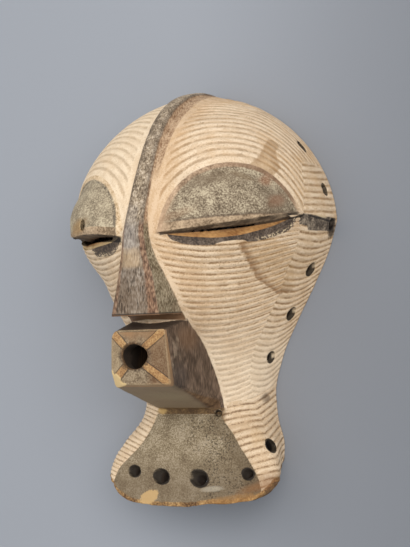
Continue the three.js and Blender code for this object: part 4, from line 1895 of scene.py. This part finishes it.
        # Grey-blue bloom on the left front of the upper nose, partly a painted sheen where the light falls
        front.tint(Tint.NOSE_BLOOM, (f.y + f.ragged * 3).within(208, 238, 8) * f.across.step(0.5, 0.1) * 0.2)
        crack = graph.noise(1.3, 2.0, (1, 6, 1)).step(0.48, 0.4) * graph.noise(11.0, 2.0).step(0.4, 0.52)
        front.tint(Tint.CRACK, crack * (low_nose * 0.55 + 0.3))
        front.cover(self.red_edge, (f.across + f.ragged * 0.05).step(-0.72, -0.86) * f.y.step(235, 215) * 0.7)
        front.cover(self.red_edge, (f.across + f.ragged * 0.09).step(0.5, 0.66) * on_nose * 0.85)
        foot = (f.ridge + f.ragged * 0.3).step(5.2, 4.0) * f.y.step(258, 282)
        paint.cover(self.crest_side, foot * f.x.step(-2, 2) * 0.9)
        on_ridge = (f.ridge + f.ragged * 0.25).step(0.6, -0.3)
        paint.lay(front, on_ridge)
        side = self.crest_side.layer(graph)
        side.cover(self.nose_side, on_nose)
        paint.lay(side, (f.sink + f.ragged * 0.3).step(1.3, 2.1) * on_ridge)
        # Painted shade along the rounded corner where the ridge's front turns to its sides
        corner = (f.sink + f.ragged * 0.8).within(0.7, 2.2, 0.8) * on_ridge
        paint.tint(Tint.RIDGE_CORNER, corner * (1 - on_nose * 0.5) * 0.5)
        tip = f.y - f.sink * 0.1
        front_only = f.z.step(88, 96) * on_ridge
        paint.tint(Tint.NOSE_UNDERSIDE, tip.step(154.7, 154.2) * front_only)
        # Painted shadow: a dark line along the nose's lower front edge
        paint.tint(Tint.NOSE_LINE, (tip + f.ragged * 0.1).within(154.6, 155.2, 0.5) * front_only * 0.75)

    def _mouth(self, f: Surface, paint: Layer) -> None:
        """Dark mouth box with bare strips on its lips and a broken corner, a painted shadow on its top and a
        painted highlight along its bevel.

        Args:
            f: Values over the mask's surface.
            paint: Layer that is painted on.
        """
        on_box = (f.box + f.ragged * 0.2).step(0.8, 0.1) * f.ridge.step(0.2, 1.0)
        paint.cover(self.mouth_side, on_box)
        paint.tint(Tint.SOFFIT, (f.soffit + f.ragged * 0.5).step(2.5, 0.5) * on_box * 0.8)
        top = (f.roof + f.ragged * 0.4).step(1.6, 0.4) * on_box
        # Dark paint and a painted shadow from the nose on the box's top
        paint.tint(Tint.BOX_ROOF, top * 0.8)
        bevel = (f.lips + f.ragged * 0.3).within(1.0, 3.2, 0.8) * on_box * (1 - top)
        # Painted highlight: a light tan line along the bevel just behind the lips
        paint.tint(Tint.BOX_BEVEL, bevel * 0.65)
        on_lips = f.lips.step(1.4, 0.8) * on_box
        paint.cover(self.mouth_front, on_lips)
        paint.tint(Tint.LIPS_RIGHT, on_lips * (f.x + f.ragged).step(3, 13) * 0.5)
        paint.tint(Tint.LIPS_LEFT, on_lips * (f.x + f.ragged).step(-12, -20) * 0.3)
        paint.tint(Tint.STRIP_LINE, (f.strips + f.ragged * 0.2).within(0.0, 0.6, 0.5) * on_lips * 0.75)
        paint.cover(self.strip, (f.strips + f.ragged * 0.3).step(0.3, -0.4) * on_lips * 0.9)
        paint.tint(Tint.BOX_EDGE, (f.box + f.ragged * 0.5).step(-1.8, -0.8) * on_lips * 0.4)
        length = math.hypot(*self.chip_out)
        along = [(getattr(f, axis) - place) * (way / length)
                 for axis, place, way in zip("xyz", self.chip_place, self.chip_out)]
        broken = (along[0] + along[1] + along[2] + f.grit * 0.2).step(-0.9, -0.4)
        paint.tint(Tint.MOUTH_CHIP, broken * on_box)

    def _collar(self, f: Surface, paint: Layer) -> None:
        """Dark panel of the collar, bare strip above it darkened with painted shadow, and bare lower edge.

        Args:
            f: Values over the mask's surface.
            paint: Layer that is painted on.
        """
        in_front = f.z.step(20, 26)
        strip = (f.y + f.ragged * 0.4).step(83, 81.5) * f.x.size().step(34, 27) * in_front
        paint.cover(self.edge, strip)
        # Painted shadow under the mouth box, darkening the bare strip
        paint.tint(Tint.COLLAR_STRIP, strip * 0.68)
        on_panel = (f.panel + f.ragged * 0.25).step(0.4, -0.4) * in_front
        paint.cover(self.panel, on_panel)
        paint.tint(Tint.LOW_PANEL, (f.y + f.ragged * 2).step(55, 12) * on_panel * 0.55)
        belt = (f.panel + f.ragged).within(-9.0, -1.0, 2.0) * on_panel * f.x.step(10, 25)
        paint.tint(Tint.PANEL_BELT, belt * 0.45)
        pit = paint.graph.noise(1.6, 1.0).step(0.46, 0.38) * paint.graph.noise(10.0, 2.0).step(0.4, 0.52)
        paint.tint(Tint.PANEL_PIT, pit * on_panel * (f.x + f.y * 0.3).step(0, 30) * 0.65)
        paint.tint(Tint.PANEL_BELT, on_panel * (f.x - f.y * 0.3).step(8, 40) * 0.3)
        paint.cover(self.edge, (f.edge + f.ragged * 1.2).step(4.5, 3.0))

    def _holes_and_hollow(self, f: Surface, paint: Layer) -> None:
        """Holes charred and darkened with painted shade, painted shade inside the mouth box, the raw hollow
        and the bare back rim.

        Args:
            f: Values over the mask's surface.
            paint: Layer that is painted on.
        """
        in_box = f.box.step(-1.5, -3.0) * f.lips.step(2.5, 4.0)
        inside = f.wall.step(1.5, 0.0).at_least(in_box)
        chipped = (f.hole + f.ragged * 0.6).step(2.2, 1.0) * (1 - inside) * f.patch.step(0, 2)
        chipped = chipped * f.ragged.step(-0.3, 0.3) * f.panel.step(0, 3)
        paint.tint(Tint.PALE_WOOD, chipped * 0.5)
        paint.cover(self.hollow, inside)
        paint.cover(self.edge, f.z.step(1.6, 0.6) * 0.8)
        # The holes' walls are charred and also darkened with painted shade
        hole_char_and_shade = (f.hole + f.ragged * 0.35).step(1.5, 0.7)
        paint.tint(Tint.BURNT, hole_char_and_shade * 0.92)
        # Painted shade: the inside of the mouth box and its bore painted near black
        paint.tint(Tint.SOOTY_BORE, in_box * f.z.step(100, 120) * (1 - hole_char_and_shade) * 0.9)


SPOTS: tuple[Spot, ...] = (
    Spot((47, 260, 128), (16, 5, 20), "6f5f4c", 0.45, 0.35),
    Spot((92.5, 246, 88), (9, 14, 20), "6b5a47", 0.5, -0.6),
    Spot((87, 264, 94), (3.5, 4.5, 9), "9a6647", 0.45, 0.0, 0.7),
    Spot((95, 247, 88), (4, 8, 12), "8f6247", 0.45, -0.5, 0.6),
    Spot((30, 232, 140), (14, 3.5, 12), "8f6f52", 0.35, 0.3, 0.6),
    Spot((73, 266, 109), (10, 2, 12), "7a6449", 0.4, -0.4),
    Spot((24, 15.5, 59), (10, 2.2, 8), "c8bda8", 0.35, 0.1),
    Spot((-34, 7, 60), (9, 5.5, 10), "bd9b69", 0.8, 0.45, 0.12),
    Spot((72, 22, 50), (8, 7, 12), "6b4427", 0.55, 0.4, 0.9),
    Spot((60, 17, 51), (14, 3.5, 14), "8a5d35", 0.5, 0.3, 0.6),
    Spot((58, 264, 121), (28, 6, 25), "6b5843", 0.4, 0.05, 0.7),
    Spot((46, 8, 60), (26, 3.5, 12), "a0733f", 0.45, 0.15),
    Spot((-27, 80, 51), (5, 3, 7), "c2a066", 0.7),
    # Dark rim around the bore, and painted shade inside the bore's mouth
    Spot((-5.8, 122.3, 142), (13.2, 11.6, 9), "3a2c20", 0.7, 0.0, 0.12),
    Spot((27, 107, 124), (6, 11, 13), "2c2b2c", 0.42, 0.0, 0.6),
    Spot((26, 138, 108), (6, 9, 16), "7d5b3e", 0.4, 0.0, 0.6),
    Spot((6, 92, 100), (16, 12, 12), "8f8265", 0.35, 0.0, 0.7),
    Spot((56.5, 91, 19), (5, 4, 6), "4b3829", 0.6, 0.0, 0.5),
    Spot((113, 242.4, 33), (9, 0.9, 9), "c9b08c", 0.8, 0.0, 0.3),
    Spot((114, 240.2, 32), (9, 0.9, 27), "1f1a17", 0.8, 0.0, 0.3),
    Spot((115, 235, 8), (9, 8, 7), "241c17", 0.85, 0.0, 0.3),
    Spot((-68, 231, 126), (16, 6, 20), "94703f", 0.6, 0.15, 0.5),
    Spot((60, 60, 46), (6, 9, 9), "c3a175", 0.3, 0.3),
)


@dataclass
class CarvedMask:
    """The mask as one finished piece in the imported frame."""

    carver: MaskCarver = field(default_factory=MaskCarver)
    finish: MaskFinish = MaskFinish()

    def build(self) -> bpy.types.Object:
        """Builds, dresses and places the mask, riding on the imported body.

        Returns:
            The finished piece.
        """
        piece = self.carver.build()
        piece.name = "carved_mask"
        points = rows_of(piece.data.vertices, "co")
        points[:, 1] -= TOTAL_LENGTH / 2
        place_points(piece.data, np.clip(points * MILLIMETRE, *map(np.array, cad_box)))
        piece.data.polygons.foreach_set("use_smooth", [True] * len(piece.data.polygons))
        piece.data.materials.clear()
        piece.data.materials.append(self.finish.material())
        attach(piece, FRAME_BODY)
        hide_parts(FRAME_NODE)
        log.info("piece %s has %d triangles", piece.name, len(piece.data.polygons))
        return piece


@dataclass(frozen=True)
class SoftLight:
    """A square lamp aimed at the middle of the mask."""

    name: str
    place: Point
    size: float
    power: float
    aim: Point = (0, 0, 0.05)

    def build(self) -> None:
        """Makes the lamp."""
        light = bpy.data.lights.new(self.name, "AREA")
        light.size = self.size
        light.energy = self.power
        lamp = bpy.data.objects.new(self.name, light)
        lamp.location = self.place
        lamp.rotation_euler = (Vector(self.aim) - Vector(self.place)).to_track_quat("-Z", "Y").to_euler()
        bpy.context.scene.collection.objects.link(lamp)


@dataclass(frozen=True)
class Studio:
    """Pale floor, soft lights and the camera that looks down on the lying mask."""

    lights: tuple[SoftLight, ...] = (
        SoftLight("key", (-0.7, 0.6, 1.1), 1.6, 5),
        SoftLight("fill", (0.85, 0.3, 1.45), 1.2, 17.5),
    )
    sky_colour: tuple[float, ...] = (0.96, 0.98, 1.0, 1)
    sky_strength: float = 0.83
    floor_reach: float = 3.0
    floor_colour: str = "8e9197"
    floor_shade: float = 0.6
    floor_roughness: float = 0.9
    fade_right: float = 1.2
    fade_back: float = 0.08
    cloud_size: float = 400.0
    camera_place: Point = (0.4102, -0.09815, 0.9010)
    camera_right: Point = (0.9063, 0.0, -0.4226)
    camera_up: Point = (0.0502, 0.9929, 0.1076)
    focal_length: float = 72.4
    sensor: float = 36.0

    def build(self) -> None:
        """Makes the floor, the lights and the camera."""
        self._floor()
        for light in self.lights:
            light.build()
        world = bpy.data.worlds.new("studio")
        world.use_nodes = True
        sky = world.node_tree.nodes["Background"]
        sky.inputs["Color"].default_value = self.sky_colour
        sky.inputs["Strength"].default_value = self.sky_strength
        bpy.context.scene.world = world
        bpy.context.scene.view_settings.view_transform = "Standard"
        self._camera()

    def _floor(self) -> None:
        """The floor that the mask lies on, with painted shade darkening it towards the right and a little
        towards -y.
        """
        reach = self.floor_reach
        corners = np.array([(-reach, -reach, 0), (reach, -reach, 0), (reach, reach, 0), (-reach, reach, 0)])
        floor = mesh_object("floor", corners, [(0, 1, 2, 3)])
        graph = Graph("floor")
        base = linear(self.floor_colour)
        darker = tuple(part * self.floor_shade for part in base[:3]) + (1.0,)
        cloud = (graph.noise(self.cloud_size, 2.0) - 0.5) * 0.1
        # Painted shade: the floor darkens towards the right and a little towards -y, a painted falloff of
        # light
        painted_falloff = graph.x * self.fade_right - graph.y * self.fade_back + cloud
        colour = graph.blend(painted_falloff.step(-0.1, 0.3), base, darker)
        floor.data.materials.append(graph.finish({"Base Color": colour, "Roughness": self.floor_roughness}))

    def _camera(self) -> None:
        """The camera at the photograph's angle to the mask."""
        right, up = Vector(self.camera_right).normalized(), Vector(self.camera_up).normalized()
        back = right.cross(up).normalized()
        data = bpy.data.cameras.new("camera")
        data.lens = self.focal_length
        data.sensor_width = self.sensor
        data.sensor_fit = "AUTO"
        camera = bpy.data.objects.new("camera", data)
        turn = Matrix((right, back.cross(right), back)).transposed().to_4x4()
        camera.matrix_world = Matrix.Translation(self.camera_place) @ turn
        bpy.context.scene.collection.objects.link(camera)
        bpy.context.scene.camera = camera


def main() -> None:
    """Builds the studio and the mask and reports each piece."""
    logging.basicConfig(level=logging.INFO, format="%(name)s: %(message)s")
    Studio().build()
    CarvedMask().build()


if __name__ == "__main__":
    main()
